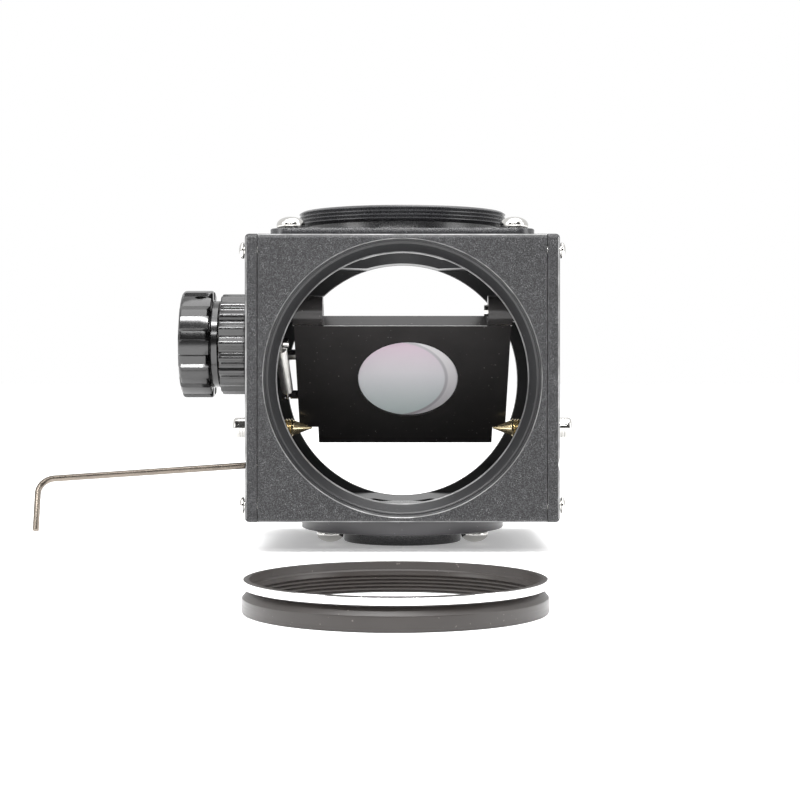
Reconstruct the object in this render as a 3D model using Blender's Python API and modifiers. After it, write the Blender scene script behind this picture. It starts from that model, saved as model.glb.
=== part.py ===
"""Flip-mirror diagonal box with its knob, stop screws, hex key and loose thread ring, modelled at rest.

Lengths are in millimetres and turn into metres where a mesh is made. +Z is up, the front port faces -Y,
and the origin is the centre of the foot that the box stands on.
"""

from math import asin, atan2, cos, hypot, pi, radians, sin

import bmesh
import bpy
from mathutils import Matrix, Vector

MM = 0.001
GAP = 0.3  # clearance kept between touching pieces

# Box
BODY_HALF_X = 36.8
BODY_HALF_Y = 36.75
BODY_HALF_Z = 36.75
FOOT_HEIGHT = 8.0
CENTRE_Z = FOOT_HEIGHT + BODY_HALF_Z
EDGE_CHAMFER = 1.3
FRONT_WALL = 5.0
BACK_WALL = 4.0
CAVITY_TOP = 30.9
CAVITY_BOTTOM = 34.0
PLATE_THICKNESS = 3.1
PLATE_INNER_X = BODY_HALF_X + 0.2
PLATE_OUTER_X = PLATE_INNER_X + PLATE_THICKNESS

# Ports
LIP_RADIUS = 32.15
RECESS_RADIUS = 34.6
FRONT_CHAMFER_RADIUS = 35.6
BACK_BORE_RADIUS = 33.7
BACK_BORE_DROP = 1.2
TOP_BORE_RADIUS = 24.2
TOP_THREAD_RADIUS = 28.2
TOP_NECK_RADIUS = 26.2
TOP_THREAD_PITCH = 0.95
TOP_THREAD_TURNS = 4
TOP_PLATE_HALF_X = 34.3
TOP_PLATE_HALF_Y = 30.5
TOP_PLATE_THICKNESS = 1.6
BOTTOM_FLANGE_RADIUS = 27.5
BOTTOM_FLANGE_THICKNESS = 3.9
FOOT_RADIUS = 16.0
FOOT_THICKNESS = 3.5
PLUG_RADIUS = 12.0

# Mirror holder, in a frame on the hinge axis: x across, u down the slope, n up and back
HINGE_Y = -17.0
HINGE_Z = 17.7
BARREL_RADIUS = 4.0
HOLDER_HALF_X = 29.0
HOLDER_FACE_N = -0.5
HOLDER_BACK_N = 3.4
HOLDER_TOP_U = 5.1
WING_END_U = 44.6
TONGUE_END_U = 51.1
TONGUE_X = (-23.75, 25.4)
THROAT_X = (-21.0, 22.6)
SIDE_WALL = 1.8
WINDOW_X = 1.5
WINDOW_U = 25.7
WINDOW_HALF_X = 13.8
WINDOW_HALF_U = 14.4
WINDOW_SEAT_RADIUS = 16.4

# Knob drive: the crank pin's circle passes through the hinge, so the knob turns twice as far as the mirror
KNOB_Y = -6.0
KNOB_Z = 8.9
CRANK_RADIUS = hypot(KNOB_Y - HINGE_Y, HINGE_Z - KNOB_Z)
SLOT_LEAN = radians(20.0)
FLIP_TRAVEL = radians(45.0)
KNOB_RADIUS = 14.5
KNOB_NECK_RADIUS = 11.75
KNOB_NOTCHES = 13
COLLAR_RADIUS = 13.55
COLLAR_FLUTES = 20
SHAFT_RADIUS = 3.0

# Stops, spring, clamp and key
STOP_Y = 11.3
STOP_Z = -14.3
STOP_TIP_X = 25.3
STOP_THREAD_RADIUS = 2.5
SPRING_X = -31.9
SPRING_FRONT = (-24.5, 9.0)
SPRING_BACK = (7.6, -4.9)
SPRING_COIL_RADIUS = 1.5
CLAMP_Y = -34.2
CLAMP_Z = -22.0
KEY_RADIUS = 0.87
KEY_TILT = radians(3.9)
KEY_LEAN = radians(32.0)
KEY_LONG = 58.0
KEY_SHORT = 14.5
KEY_BEND = 4.0

# Loose ring on the table
RING_X = -1.35
RING_Y = -141.5
RING_RADIUS = 30.0
RING_HEIGHT = 6.5

# Fastener places
SIDES = (("left", -1), ("right", 1))
TOP_SCREWS = ((-29.0, -26.0), (29.0, -26.0), (-29.0, 26.0), (29.0, 26.0))
BOTTOM_SCREW_CIRCLE = 22.3
BOTTOM_SCREW_ANGLES = (radians(-150), radians(-30), radians(90))
BOTTOM_SCREWS = [(BOTTOM_SCREW_CIRCLE * cos(a), BOTTOM_SCREW_CIRCLE * sin(a)) for a in BOTTOM_SCREW_ANGLES]
PLATE_SCREWS = ((-34.2, 32.5), (-34.2, -32.5), (34.7, 32.5), (34.7, -32.5))
CLIPS = ((-25.0, 36.0), (25.0, 36.0))
BUMPER_X = 28.0
BUMPER_Y = 8.0
GRUB_ANGLE = radians(28.0)

# Frames: a piece's own Z turned to +X, +Y or +Z, and the mirror holder's slope
TO_X = Matrix(((0, 0, 1), (1, 0, 0), (0, 1, 0)))
TO_Y = Matrix(((0, 1, 0), (0, 0, 1), (1, 0, 0)))
TO_Z = Matrix.Identity(3)
HOLDER_TURN = Matrix.Rotation(-pi / 4, 3, "X")
HINGE_POINT = Vector((0, HINGE_Y, HINGE_Z + CENTRE_Z))


def clear_scene():
    for obj in list(bpy.data.objects):
        bpy.data.objects.remove(obj, do_unlink=True)


def new_collection(name):
    made = bpy.data.collections.new(name)
    bpy.context.scene.collection.children.link(made)
    return made


def finish(name, colour, metallic, roughness):
    made = bpy.data.materials.new(name)
    made.use_nodes = True
    shader = made.node_tree.nodes["Principled BSDF"]
    shader.inputs["Base Color"].default_value = (*colour, 1.0)
    shader.inputs["Metallic"].default_value = metallic
    shader.inputs["Roughness"].default_value = roughness
    return made


def place(obj, rotation, at):
    obj.matrix_world = Matrix.Translation(Vector(at) * MM) @ rotation.to_4x4()


def add_object(name, mesh, material, rotation=TO_Z, at=(0, 0, 0), cutter=False):
    obj = bpy.data.objects.new(name, mesh)
    (cutters if cutter else parts).objects.link(obj)
    place(obj, rotation, at)
    if cutter:
        obj.hide_render = True
        obj.display_type = "WIRE"
    else:
        mesh.materials.append(material)
    return obj


def to_mesh_data(name, bm):
    mesh = bpy.data.meshes.new(name)
    bm.to_mesh(mesh)
    bm.free()
    return mesh


def box(name, low, high, material=None, **placing):
    """A block between two corners, in the frame that placing gives."""
    bm = bmesh.new()
    size = Vector(high) - Vector(low)
    middle = (Vector(high) + Vector(low)) / 2
    matrix = Matrix.Translation(middle * MM) @ Matrix.Diagonal((*(size * MM), 1.0))
    bmesh.ops.create_cube(bm, size=1.0, matrix=matrix)
    return add_object(name, to_mesh_data(name, bm), material, **placing)


def rod(name, radius, low, high, material=None, sides=24, scale_y=1.0, **placing):
    """A straight round piece along its own Z, from low to high."""
    bm = bmesh.new()
    matrix = Matrix.Translation((0, 0, (low + high) / 2 * MM)) @ Matrix.Diagonal((1, scale_y, 1, 1))
    bmesh.ops.create_cone(
        bm, cap_ends=True, segments=sides, radius1=radius * MM, radius2=radius * MM,
        depth=(high - low) * MM, matrix=matrix,
    )
    return add_object(name, to_mesh_data(name, bm), material, **placing)


def turned(name, profile, material=None, sides=48, ring=False, **placing):
    """A profile of (radius, height) turned about its own Z. It runs down the outer side, top to bottom."""
    bm = bmesh.new()
    verts = [bm.verts.new((r * MM, 0, z * MM)) for r, z in profile]
    for first, second in zip(verts, verts[1:]):
        bm.edges.new((first, second))
    if ring:
        bm.edges.new((verts[-1], verts[0]))
    obj = add_object(name, to_mesh_data(name, bm), material, **placing)
    screw = obj.modifiers.new("turn", "SCREW")
    screw.steps = sides
    screw.render_steps = sides
    screw.use_merge_vertices = True
    screw.merge_threshold = 0.00001
    return obj


def plate(name, outlines, low, high, material=None, **placing):
    """A flat outline, with any holes, extruded from low to high along its own Z."""
    curve = bpy.data.curves.new(name, "CURVE")
    curve.dimensions = "2D"
    curve.fill_mode = "BOTH"
    curve.extrude = (high - low) / 2 * MM
    for outline in outlines:
        spline = curve.splines.new("POLY")
        spline.points.add(len(outline) - 1)
        spline.use_cyclic_u = True
        for point, (x, y) in zip(spline.points, outline):
            point.co = (x * MM, y * MM, 0, 1)
    guide = bpy.data.objects.new(name + "_outline", curve)
    bpy.context.scene.collection.objects.link(guide)
    graph = bpy.context.evaluated_depsgraph_get()
    mesh = bpy.data.meshes.new_from_object(guide.evaluated_get(graph))
    bpy.data.objects.remove(guide, do_unlink=True)
    bpy.data.curves.remove(curve)
    mesh.name = name
    bm = bmesh.new()
    bm.from_mesh(mesh)
    bmesh.ops.remove_doubles(bm, verts=bm.verts, dist=0.000001)
    bmesh.ops.translate(bm, verts=bm.verts, vec=(0, 0, (low + high) / 2 * MM))
    bmesh.ops.recalc_face_normals(bm, faces=bm.faces)
    bm.to_mesh(mesh)
    bm.free()
    mesh.materials.clear()
    return add_object(name, mesh, material, **placing)


def wire(name, points, radius, material, sides=8):
    """A bent wire through world points, with 4 + 2 * bevel_resolution sides."""
    curve = bpy.data.curves.new(name, "CURVE")
    curve.dimensions = "3D"
    curve.bevel_depth = radius * MM
    curve.bevel_resolution = (sides - 4) // 2
    curve.use_fill_caps = True
    spline = curve.splines.new("POLY")
    spline.points.add(len(points) - 1)
    for point, co in zip(spline.points, points):
        point.co = (*(Vector(co) * MM), 1)
    curve.materials.append(material)
    obj = bpy.data.objects.new(name, curve)
    parts.objects.link(obj)
    return obj


def boolean(target, tool, operation="DIFFERENCE"):
    modifier = target.modifiers.new(tool.name, "BOOLEAN")
    modifier.operation = operation
    modifier.object = tool
    modifier.show_render = True


def chamfer(obj, width, chosen):
    """Bevels the sharp edges of a mesh that the test picks, in the mesh's own frame and millimetres."""
    bm = bmesh.new()
    bm.from_mesh(obj.data)
    edges = [e for e in bm.edges if chosen(e.verts[0].co / MM, e.verts[1].co / MM)]
    bmesh.ops.bevel(bm, geom=edges, offset=width * MM, segments=1, affect="EDGES", profile=0.5)
    bm.to_mesh(obj.data)
    bm.free()


def shade(obj, angle=30.0):
    if obj.type == "MESH":
        obj.data.shade_smooth()
        obj.data.set_sharp_from_angle(angle=radians(angle))


def circle(radius, sides):
    return [(radius * cos(2 * pi * i / sides), radius * sin(2 * pi * i / sides)) for i in range(sides)]


def rounded_rectangle(half_x, half_y, corner, steps=4):
    points = []
    for quarter, (sx, sy) in enumerate(((1, 1), (-1, 1), (-1, -1), (1, -1))):
        for i in range(steps + 1):
            angle = (quarter + i / steps) * pi / 2
            x = sx * (half_x - corner) + corner * cos(angle)
            y = sy * (half_y - corner) + corner * sin(angle)
            points.append((x, y))
    return points


def capsule(first, second, radius_1, radius_2, steps=8):
    """The outline of a link with round ends of two sizes."""
    ax, ay = first
    bx, by = second
    along = atan2(by - ay, bx - ax)
    spread = asin((radius_1 - radius_2) / hypot(bx - ax, by - ay))
    points = []
    start, sweep = along + pi / 2 - spread, pi + 2 * spread
    for i in range(steps + 1):
        angle = start + sweep * i / steps
        points.append((ax + radius_1 * cos(angle), ay + radius_1 * sin(angle)))
    start, sweep = along - pi / 2 + spread, pi - 2 * spread
    for i in range(steps + 1):
        angle = start + sweep * i / steps
        points.append((bx + radius_2 * cos(angle), by + radius_2 * sin(angle)))
    return points


def box_point(x, y, z):
    """A place given from the centre of the box, in the part's own frame."""
    return (x, y, z + CENTRE_Z)


def screw_profile(head_radius, head_height, shank_radius, shank_length, steps=3):
    """Dome head above z = 0 and shank below, for turned()."""
    profile = []
    for i in range(steps + 1):
        angle = pi / 2 * (1 - i / steps)
        profile.append((head_radius * cos(angle), 0.3 * head_height + 0.7 * head_height * sin(angle)))
    profile[0] = (0, head_height)
    profile += [(head_radius, 0), (shank_radius, 0), (shank_radius, -shank_length), (0, -shank_length)]
    return profile


def make_body_shell():
    corner = Vector((BODY_HALF_X, BODY_HALF_Y, BODY_HALF_Z))
    body = box("body_shell", -corner, corner, black_coat, at=(0, 0, CENTRE_Z))
    chamfer(body, EDGE_CHAMFER, lambda a, b: abs(a.x - b.x) > 1)
    back_inner = BODY_HALF_Y - BACK_WALL
    cavity = box("cut_cavity", (-40, -BODY_HALF_Y + FRONT_WALL, -CAVITY_BOTTOM), (40, back_inner, CAVITY_TOP),
                 at=(0, 0, CENTRE_Z), cutter=True)
    bore = rod("cut_back_bore", BACK_BORE_RADIUS, -BODY_HALF_Y + FRONT_WALL, 40, sides=60, rotation=TO_Y,
               at=box_point(0, 0, -BACK_BORE_DROP), cutter=True)
    face = BODY_HALF_Y
    front = turned(
        "cut_front_port",
        [(0, -face + 8), (LIP_RADIUS, -face + 8), (LIP_RADIUS, -face + 3.6),
         (RECESS_RADIUS - 0.3, -face + 1.1), (RECESS_RADIUS + 0.3, -face + 1.0),
         (FRONT_CHAMFER_RADIUS - 0.5, -face + 0.5), (FRONT_CHAMFER_RADIUS, -face),
         (FRONT_CHAMFER_RADIUS, -face - 1), (0, -face - 1)],
        sides=60, rotation=TO_Y, at=(0, 0, CENTRE_Z), cutter=True,
    )
    top = rod("cut_top_bore", TOP_BORE_RADIUS, 28, 40, sides=40, at=(0, 0, CENTRE_Z), cutter=True)
    bottom = rod("cut_bottom_bore", PLUG_RADIUS + GAP, -40, -32, sides=32, at=(0, 0, CENTRE_Z), cutter=True)
    bumper = rod("cut_bumper_seat", 1.3, CAVITY_TOP - 1, CAVITY_TOP + 2.5, sides=16,
                 at=box_point(BUMPER_X, BUMPER_Y, 0), cutter=True)
    for tool in (cavity, bore, front, top, bottom, bumper):
        boolean(body, tool)
    for number, (x, y) in enumerate(TOP_SCREWS, 1):
        tap = rod(f"cut_top_tap_{number}", 1.8, 31.8, 38, sides=12, at=box_point(x, y, 0), cutter=True)
        boolean(body, tap)
    for number, (x, y) in enumerate(BOTTOM_SCREWS, 1):
        tap = rod(f"cut_bottom_tap_{number}", 1.8, -38, -35.1, sides=12, at=box_point(x, y, 0), cutter=True)
        boolean(body, tap)
    for side, sign in SIDES:
        for number, (y, z) in enumerate(PLATE_SCREWS, 1):
            low, high = sorted((sign * 31.5, sign * 38))
            boolean(body, rod(f"cut_{side}_tap_{number}", 1.4, low, high, sides=12, rotation=TO_X,
                              at=box_point(0, y, z), cutter=True))
        low, high = sorted((sign * 20, sign * 38))
        boolean(body, rod(f"cut_{side}_clamp", 1.7, low, high, sides=16, rotation=TO_X,
                          at=box_point(0, CLAMP_Y, CLAMP_Z), cutter=True))
    shade(body)


def make_side_plates():
    for side, sign in SIDES:
        low, high = sorted((sign * PLATE_INNER_X, sign * PLATE_OUTER_X))
        lowest, highest = (low, -BODY_HALF_Y, -BODY_HALF_Z), (high, BODY_HALF_Y, BODY_HALF_Z)
        made = box(f"{side}_side_plate", lowest, highest, black_coat, at=(0, 0, CENTRE_Z))
        outer = sign * PLATE_OUTER_X
        chamfer(made, 1.0, lambda a, b: abs(a.x - outer) < 0.1 and abs(b.x - outer) < 0.1)
        holes = [(1.4, y, z) for y, z in PLATE_SCREWS]
        holes += [(STOP_THREAD_RADIUS + GAP, STOP_Y, STOP_Z), (2.2, CLAMP_Y, CLAMP_Z)]
        if sign < 0:
            holes.append((5.0 + GAP, KNOB_Y, KNOB_Z))
        for number, (radius, y, z) in enumerate(holes, 1):
            boolean(made, rod(f"cut_{side}_plate_{number}", radius, -45, 45, sides=20 if radius > 2 else 10,
                              rotation=TO_X, at=box_point(0, y, z), cutter=True))
        blind_low, blind_high = sorted((sign * 30, sign * (PLATE_INNER_X + 2.2)))
        blinds = [(1.8, HINGE_Y, HINGE_Z)]
        if sign < 0:
            blinds.append((1.6, *SPRING_FRONT))
        for number, (radius, y, z) in enumerate(blinds, 1):
            blind = rod(f"cut_{side}_blind_{number}", radius, blind_low, blind_high, sides=16,
                        rotation=TO_X, at=box_point(0, y, z), cutter=True)
            boolean(made, blind)
        shade(made)


def make_top_port():
    low = BODY_HALF_Z + GAP
    shoulder = low + TOP_PLATE_THICKNESS
    made = plate("top_port_flange", [rounded_rectangle(TOP_PLATE_HALF_X, TOP_PLATE_HALF_Y, 5.0)],
                 low, shoulder, satin_black, at=(0, 0, CENTRE_Z))
    thread_low = shoulder + 2.35
    top = thread_low + TOP_THREAD_PITCH * TOP_THREAD_TURNS
    profile = [(0, top), (TOP_THREAD_RADIUS - 0.5, top)]
    for turn in range(TOP_THREAD_TURNS):
        crest = top - (turn + 0.5) * TOP_THREAD_PITCH
        profile += [(TOP_THREAD_RADIUS, crest), (TOP_THREAD_RADIUS - 0.5, crest - TOP_THREAD_PITCH / 2)]
    profile += [(TOP_NECK_RADIUS, thread_low - 0.2), (TOP_NECK_RADIUS, shoulder - 0.5), (0, shoulder - 0.5)]
    neck = turned("join_top_neck", profile, sides=54, at=(0, 0, CENTRE_Z), cutter=True)
    boolean(made, neck, "UNION")
    bore = rod("cut_top_port_bore", TOP_BORE_RADIUS, 30, 50, sides=40, at=(0, 0, CENTRE_Z), cutter=True)
    boolean(made, bore)
    for number, (x, y) in enumerate(TOP_SCREWS, 1):
        hole = rod(f"cut_top_hole_{number}", 1.8, 30, 50, sides=12, at=box_point(x, y, 0), cutter=True)
        boolean(made, hole)
        screw = turned(f"top_screw_{number}", screw_profile(3.7, 2.9, 1.5, 6.0), bright_steel, sides=16,
                       at=box_point(x, y, shoulder + GAP))
        shade(screw)
    shade(made)


def make_bottom_port():
    top = FOOT_HEIGHT - GAP
    low = top - BOTTOM_FLANGE_THICKNESS
    flange = turned(
        "bottom_flange",
        [(PLUG_RADIUS + GAP, top), (BOTTOM_FLANGE_RADIUS, top), (BOTTOM_FLANGE_RADIUS, low + 1.0),
         (BOTTOM_FLANGE_RADIUS - 1.0, low), (PLUG_RADIUS + GAP, low)],
        satin_black, sides=40, ring=True,
    )
    foot_top = low - GAP
    foot = turned(
        "bottom_cap",
        [(0, FOOT_HEIGHT + 2.0), (PLUG_RADIUS, FOOT_HEIGHT + 2.0), (PLUG_RADIUS, foot_top),
         (FOOT_RADIUS, foot_top), (FOOT_RADIUS, 0.4), (FOOT_RADIUS - 0.4, 0), (0, 0)],
        satin_black, sides=32,
    )
    for number, (x, y) in enumerate(BOTTOM_SCREWS, 1):
        boolean(flange, rod(f"cut_bottom_hole_{number}", 1.8, 0, 12, sides=12, at=(x, y, 0), cutter=True))
        profile = screw_profile(3.6, foot_top - 0.3, 1.5, 5.5)
        screw = turned(f"bottom_screw_{number}", profile, bright_steel, sides=16,
                       rotation=Matrix.Rotation(pi, 3, "X"), at=(x, y, foot_top))
        shade(screw)
    shade(flange)
    shade(foot)


def make_plate_screws():
    for side, sign in SIDES:
        turn = TO_X @ (TO_Z if sign > 0 else Matrix.Rotation(pi, 3, "X"))
        for number, (y, z) in enumerate(PLATE_SCREWS, 1):
            profile = screw_profile(2.1, 1.3, 1.1, 7.0, steps=2)
            screw = turned(f"{side}_plate_screw_{number}", profile, bright_steel, sides=12,
                           rotation=turn, at=box_point(sign * (PLATE_OUTER_X + GAP), y, z))
            shade(screw)


def make_hinge():
    """Fixed pins in the side plates carry the holder's two barrels, with a sleeve on each to centre it."""
    for side, sign in SIDES:
        at = box_point(0, HINGE_Y, HINGE_Z)
        low, high = sorted((sign * 21.6, sign * (PLATE_INNER_X + 2.0)))
        pin = rod(f"{side}_hinge_pin", 1.5, low, high, bright_steel, sides=20, rotation=TO_X, at=at)
        low, high = sorted((sign * (HOLDER_HALF_X + GAP), sign * (PLATE_INNER_X - GAP)))
        profile = [(1.8, high), (3.0, high), (3.0, low), (1.8, low)]
        sleeve = turned(f"{side}_hinge_sleeve", profile, satin_black, sides=20, ring=True, rotation=TO_X,
                        at=at)
        shade(pin)
        shade(sleeve)


def slot_place(distance):
    """A point of the drive slot's middle line, in the holder's own (u, n)."""
    return (distance * cos(SLOT_LEAN), distance * sin(SLOT_LEAN))


def pin_distance(flip):
    """How far the crank pin's centre is from the hinge when the mirror has turned by flip."""
    towards_knob = atan2(KNOB_Z - HINGE_Z, KNOB_Y - HINGE_Y)
    return 2 * CRANK_RADIUS * cos(-pi / 4 + SLOT_LEAN + flip - towards_knob)


def make_mirror_holder():
    placing = {"rotation": HOLDER_TURN, "at": HINGE_POINT}
    lowest = (-HOLDER_HALF_X, HOLDER_TOP_U, HOLDER_FACE_N)
    highest = (HOLDER_HALF_X, WING_END_U, HOLDER_BACK_N)
    holder = box("mirror_holder", lowest, highest, satin_black, **placing)
    lowest = (TONGUE_X[0], WING_END_U - 1, HOLDER_FACE_N)
    highest = (TONGUE_X[1], TONGUE_END_U, 1.9)
    tongue = box("join_tongue", lowest, highest, cutter=True, **placing)
    boolean(holder, tongue, "UNION")
    wall_end = [(WING_END_U, 7.6), (WING_END_U, 0.4)]
    ear = [(1.0, 0.4), (6.0, 6.2), (19.0, 12.6), (29.0, 12.6), (33.0, 7.6), *wall_end]
    low_wall = [(1.0, 0.4), (6.0, 6.2), (10.0, 7.6), *wall_end]
    inner = HOLDER_HALF_X - SIDE_WALL
    for side, sign, outline in (("left", -1, ear), ("right", 1, low_wall)):
        low, high = sorted((sign * inner, sign * HOLDER_HALF_X))
        wall = plate(f"join_{side}_wall", [outline], low, high, rotation=HOLDER_TURN @ TO_X,
                     at=HINGE_POINT, cutter=True)
        boolean(holder, wall, "UNION")
        edge = THROAT_X[0] if sign < 0 else THROAT_X[1]
        low, high = sorted((edge, sign * HOLDER_HALF_X))
        barrel = rod(f"join_{side}_barrel", BARREL_RADIUS, low, high, sides=32, rotation=HOLDER_TURN @ TO_X,
                     at=HINGE_POINT, cutter=True)
        arm = box(f"join_{side}_arm", (low, 1.0, HOLDER_FACE_N), (high, HOLDER_TOP_U + 1, HOLDER_BACK_N),
                  cutter=True, **placing)
        boolean(holder, barrel, "UNION")
        boolean(holder, arm, "UNION")
    bore = rod("cut_hinge_bore", 1.5 + GAP, -35, 35, sides=24, rotation=HOLDER_TURN @ TO_X, at=HINGE_POINT,
               cutter=True)
    boolean(holder, bore)
    window_at = HINGE_POINT + HOLDER_TURN @ Vector((WINDOW_X, WINDOW_U, 0))
    window = rod("cut_window", WINDOW_HALF_X, -5, 10, sides=48, scale_y=WINDOW_HALF_U / WINDOW_HALF_X,
                 rotation=HOLDER_TURN, at=window_at, cutter=True)
    seat = rod("cut_window_seat", WINDOW_SEAT_RADIUS, 1.1, 10, sides=48, rotation=HOLDER_TURN, at=window_at,
               cutter=True)
    boolean(holder, window)
    boolean(holder, seat)
    near, far = pin_distance(FLIP_TRAVEL) - 0.8, pin_distance(0) + 0.8
    slot = plate("cut_drive_slot", [capsule(slot_place(near), slot_place(far), 1.8, 1.8)], -31, -inner + 0.1,
                 rotation=HOLDER_TURN @ TO_X, at=HINGE_POINT, cutter=True)
    boolean(holder, slot)
    post_seat = rod("cut_spring_post", 1.5, -32, -24.9, sides=16, rotation=HOLDER_TURN @ TO_X,
                    at=box_point(0, *SPRING_BACK), cutter=True)
    boolean(holder, post_seat)
    for number, (x, u) in enumerate(CLIPS, 1):
        at = HINGE_POINT + HOLDER_TURN @ Vector((x, u, 0))
        tap = rod(f"cut_clip_tap_{number}", 1.0, 0.6, 6, sides=10, rotation=HOLDER_TURN, at=at, cutter=True)
        boolean(holder, tap)
    shade(holder)


def make_optics():
    placing = {"rotation": HOLDER_TURN, "at": HINGE_POINT}
    seat_n = HOLDER_BACK_N + GAP
    mirror = box("main_mirror", (-22.5, 11.5, seat_n), (22.5, 49.0, seat_n + 5.0), mirror_glass, **placing)
    chamfer(mirror, 0.5, lambda a, b: a.z > 8 and b.z > 8)
    window_at = HINGE_POINT + HOLDER_TURN @ Vector((WINDOW_X, WINDOW_U, 0))
    glass = rod("guide_mirror", WINDOW_SEAT_RADIUS - GAP, 1.1 + GAP, HOLDER_BACK_N, coated_glass, sides=48,
                rotation=HOLDER_TURN, at=window_at)
    shade(glass)
    for number, (x, u) in enumerate(CLIPS, 1):
        sign = 1 if x > 0 else -1
        top = seat_n + 5.0 + GAP
        inner, outer = 22.5 + GAP, HOLDER_HALF_X - SIDE_WALL - GAP
        foot_low, foot_high = sorted((sign * inner, sign * outer))
        lip_low, lip_high = sorted((sign * 20.0, sign * outer))
        clip = box(f"mirror_clip_{number}", (foot_low, u - 4, seat_n), (foot_high, u + 4, top + 0.9),
                   satin_black, **placing)
        lip = box(f"join_clip_{number}", (lip_low, u - 4, top), (lip_high, u + 4, top + 0.9), cutter=True,
                  **placing)
        boolean(clip, lip, "UNION")
        at = HINGE_POINT + HOLDER_TURN @ Vector((x, u, 0))
        hole = rod(f"cut_clip_{number}", 1.0, 0, 20, sides=10, rotation=HOLDER_TURN, at=at, cutter=True)
        boolean(clip, hole)
        head_at = HINGE_POINT + HOLDER_TURN @ Vector((x, u, top + 0.9 + GAP))
        profile = screw_profile(1.7, 1.0, 0.7, 8.5, steps=2)
        screw = turned(f"clip_screw_{number}", profile, bright_steel, sides=10, rotation=HOLDER_TURN,
                       at=head_at)
        shade(screw)


def make_spring():
    front = Vector((SPRING_X, *SPRING_FRONT)) + Vector((0, 0, CENTRE_Z))
    back = Vector((SPRING_X, *SPRING_BACK)) + Vector((0, 0, CENTRE_Z))
    post = turned(
        "spring_post",
        [(0, -29.6), (1.3, -29.6), (1.3, SPRING_X + 0.8), (0.75, SPRING_X + 0.5), (0.75, SPRING_X - 0.5),
         (1.3, SPRING_X - 0.8), (1.3, -PLATE_INNER_X - 2.0), (0, -PLATE_INNER_X - 2.0)],
        bright_steel, sides=16, rotation=TO_X, at=box_point(0, *SPRING_FRONT),
    )
    arm = turned(
        "spring_arm",
        [(0, -25.2), (1.2, -25.2), (1.2, SPRING_X + 0.8), (0.75, SPRING_X + 0.5), (0.75, SPRING_X - 0.5),
         (1.2, SPRING_X - 0.8), (1.2, SPRING_X - 1.6), (0, SPRING_X - 1.6)],
        satin_black, sides=16, rotation=TO_X, at=box_point(0, *SPRING_BACK),
    )
    along = (back - front).normalized()
    coil_start, coil_end = front + along * 3.4, back - along * 3.4
    wire("tension_spring", [coil_start, coil_end], SPRING_COIL_RADIUS, bright_steel, sides=10)
    shade(post)
    shade(arm)


def make_knob():
    at = box_point(0, KNOB_Y, KNOB_Z)
    outer, inner = -59.2, -50.9
    outline = []
    for notch in range(KNOB_NOTCHES):
        low_radius = KNOB_RADIUS - 0.7
        corners = ((0.02, KNOB_RADIUS), (0.48, KNOB_RADIUS), (0.52, low_radius), (0.98, low_radius))
        for part, radius in corners:
            angle = 2 * pi * (notch + part) / KNOB_NOTCHES
            outline.append((radius * cos(angle), radius * sin(angle)))
    wheel = plate("knob_wheel", [outline], outer, inner, satin_black, rotation=TO_X, at=at)
    neck = rod("join_knob_neck", KNOB_NECK_RADIUS, inner - 1, -49.0, sides=40, rotation=TO_X, at=at,
               cutter=True)
    boolean(wheel, neck, "UNION")
    bore = rod("cut_knob_bore", SHAFT_RADIUS + GAP, -57.2, -40, sides=24, rotation=TO_X, at=at, cutter=True)
    boolean(wheel, bore)
    grub_turn = Matrix.Rotation(GRUB_ANGLE, 3, "X")
    grub_at = box_point(-54.0, KNOB_Y, KNOB_Z)
    grub_hole = rod("cut_knob_grub", 1.6, 1, 20, sides=14, rotation=grub_turn, at=grub_at, cutter=True)
    boolean(wheel, grub_hole)
    grub = rod("knob_set_screw", 1.3, SHAFT_RADIUS + GAP, 12.0, bright_steel, sides=14, rotation=grub_turn,
               at=grub_at)
    shaft = rod("knob_shaft", SHAFT_RADIUS, -56.9, -36.4, bright_steel, sides=24, rotation=TO_X, at=at)
    shade(wheel)
    shade(grub)
    shade(shaft)
    collar_outline = []
    for flute in range(COLLAR_FLUTES):
        for part, depth in ((0.0, 0.0), (0.28, 0.2), (0.5, 0.75), (0.72, 0.2)):
            angle = 2 * pi * (flute + part) / COLLAR_FLUTES
            radius = COLLAR_RADIUS - depth
            collar_outline.append((radius * cos(angle), radius * sin(angle)))
    collar = plate("knob_collar", [collar_outline, circle(7.3, 32)], -48.7, -PLATE_OUTER_X - GAP, satin_black,
                   rotation=TO_X, at=at)
    shade(collar)
    bush = turned(
        "shaft_bush",
        [(SHAFT_RADIUS + GAP, -PLATE_INNER_X + 0.2), (5.0, -PLATE_INNER_X + 0.2), (5.0, -PLATE_OUTER_X - GAP),
         (7.0, -PLATE_OUTER_X - GAP), (7.0, -48.4), (SHAFT_RADIUS + GAP, -48.4)],
        brass, sides=24, ring=True, rotation=TO_X, at=at,
    )
    shade(bush)
    pin_at = pin_distance(0)
    pin_u, pin_n = slot_place(pin_at)
    pin_world = HINGE_POINT + HOLDER_TURN @ Vector((0, pin_u, pin_n))
    pin_y, pin_z = pin_world.y - KNOB_Y, pin_world.z - CENTRE_Z - KNOB_Z
    crank = plate("crank_arm", [capsule((0, 0), (pin_y, pin_z), 5.0, 2.6)], -36.1, -34.5, bright_steel,
                  rotation=TO_X, at=at)
    shade(crank)
    pin_hole = rod("cut_crank_pin", 1.3, -40, -30, sides=16, rotation=TO_X, at=pin_world, cutter=True)
    boolean(crank, pin_hole)
    profile = [(0, -27.6), (1.5, -27.6), (1.5, -34.2), (1.0, -34.2), (1.0, -36.0), (0, -36.0)]
    pin = turned("crank_pin", profile, bright_steel, sides=16, rotation=TO_X, at=pin_world)
    shade(pin)


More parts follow.
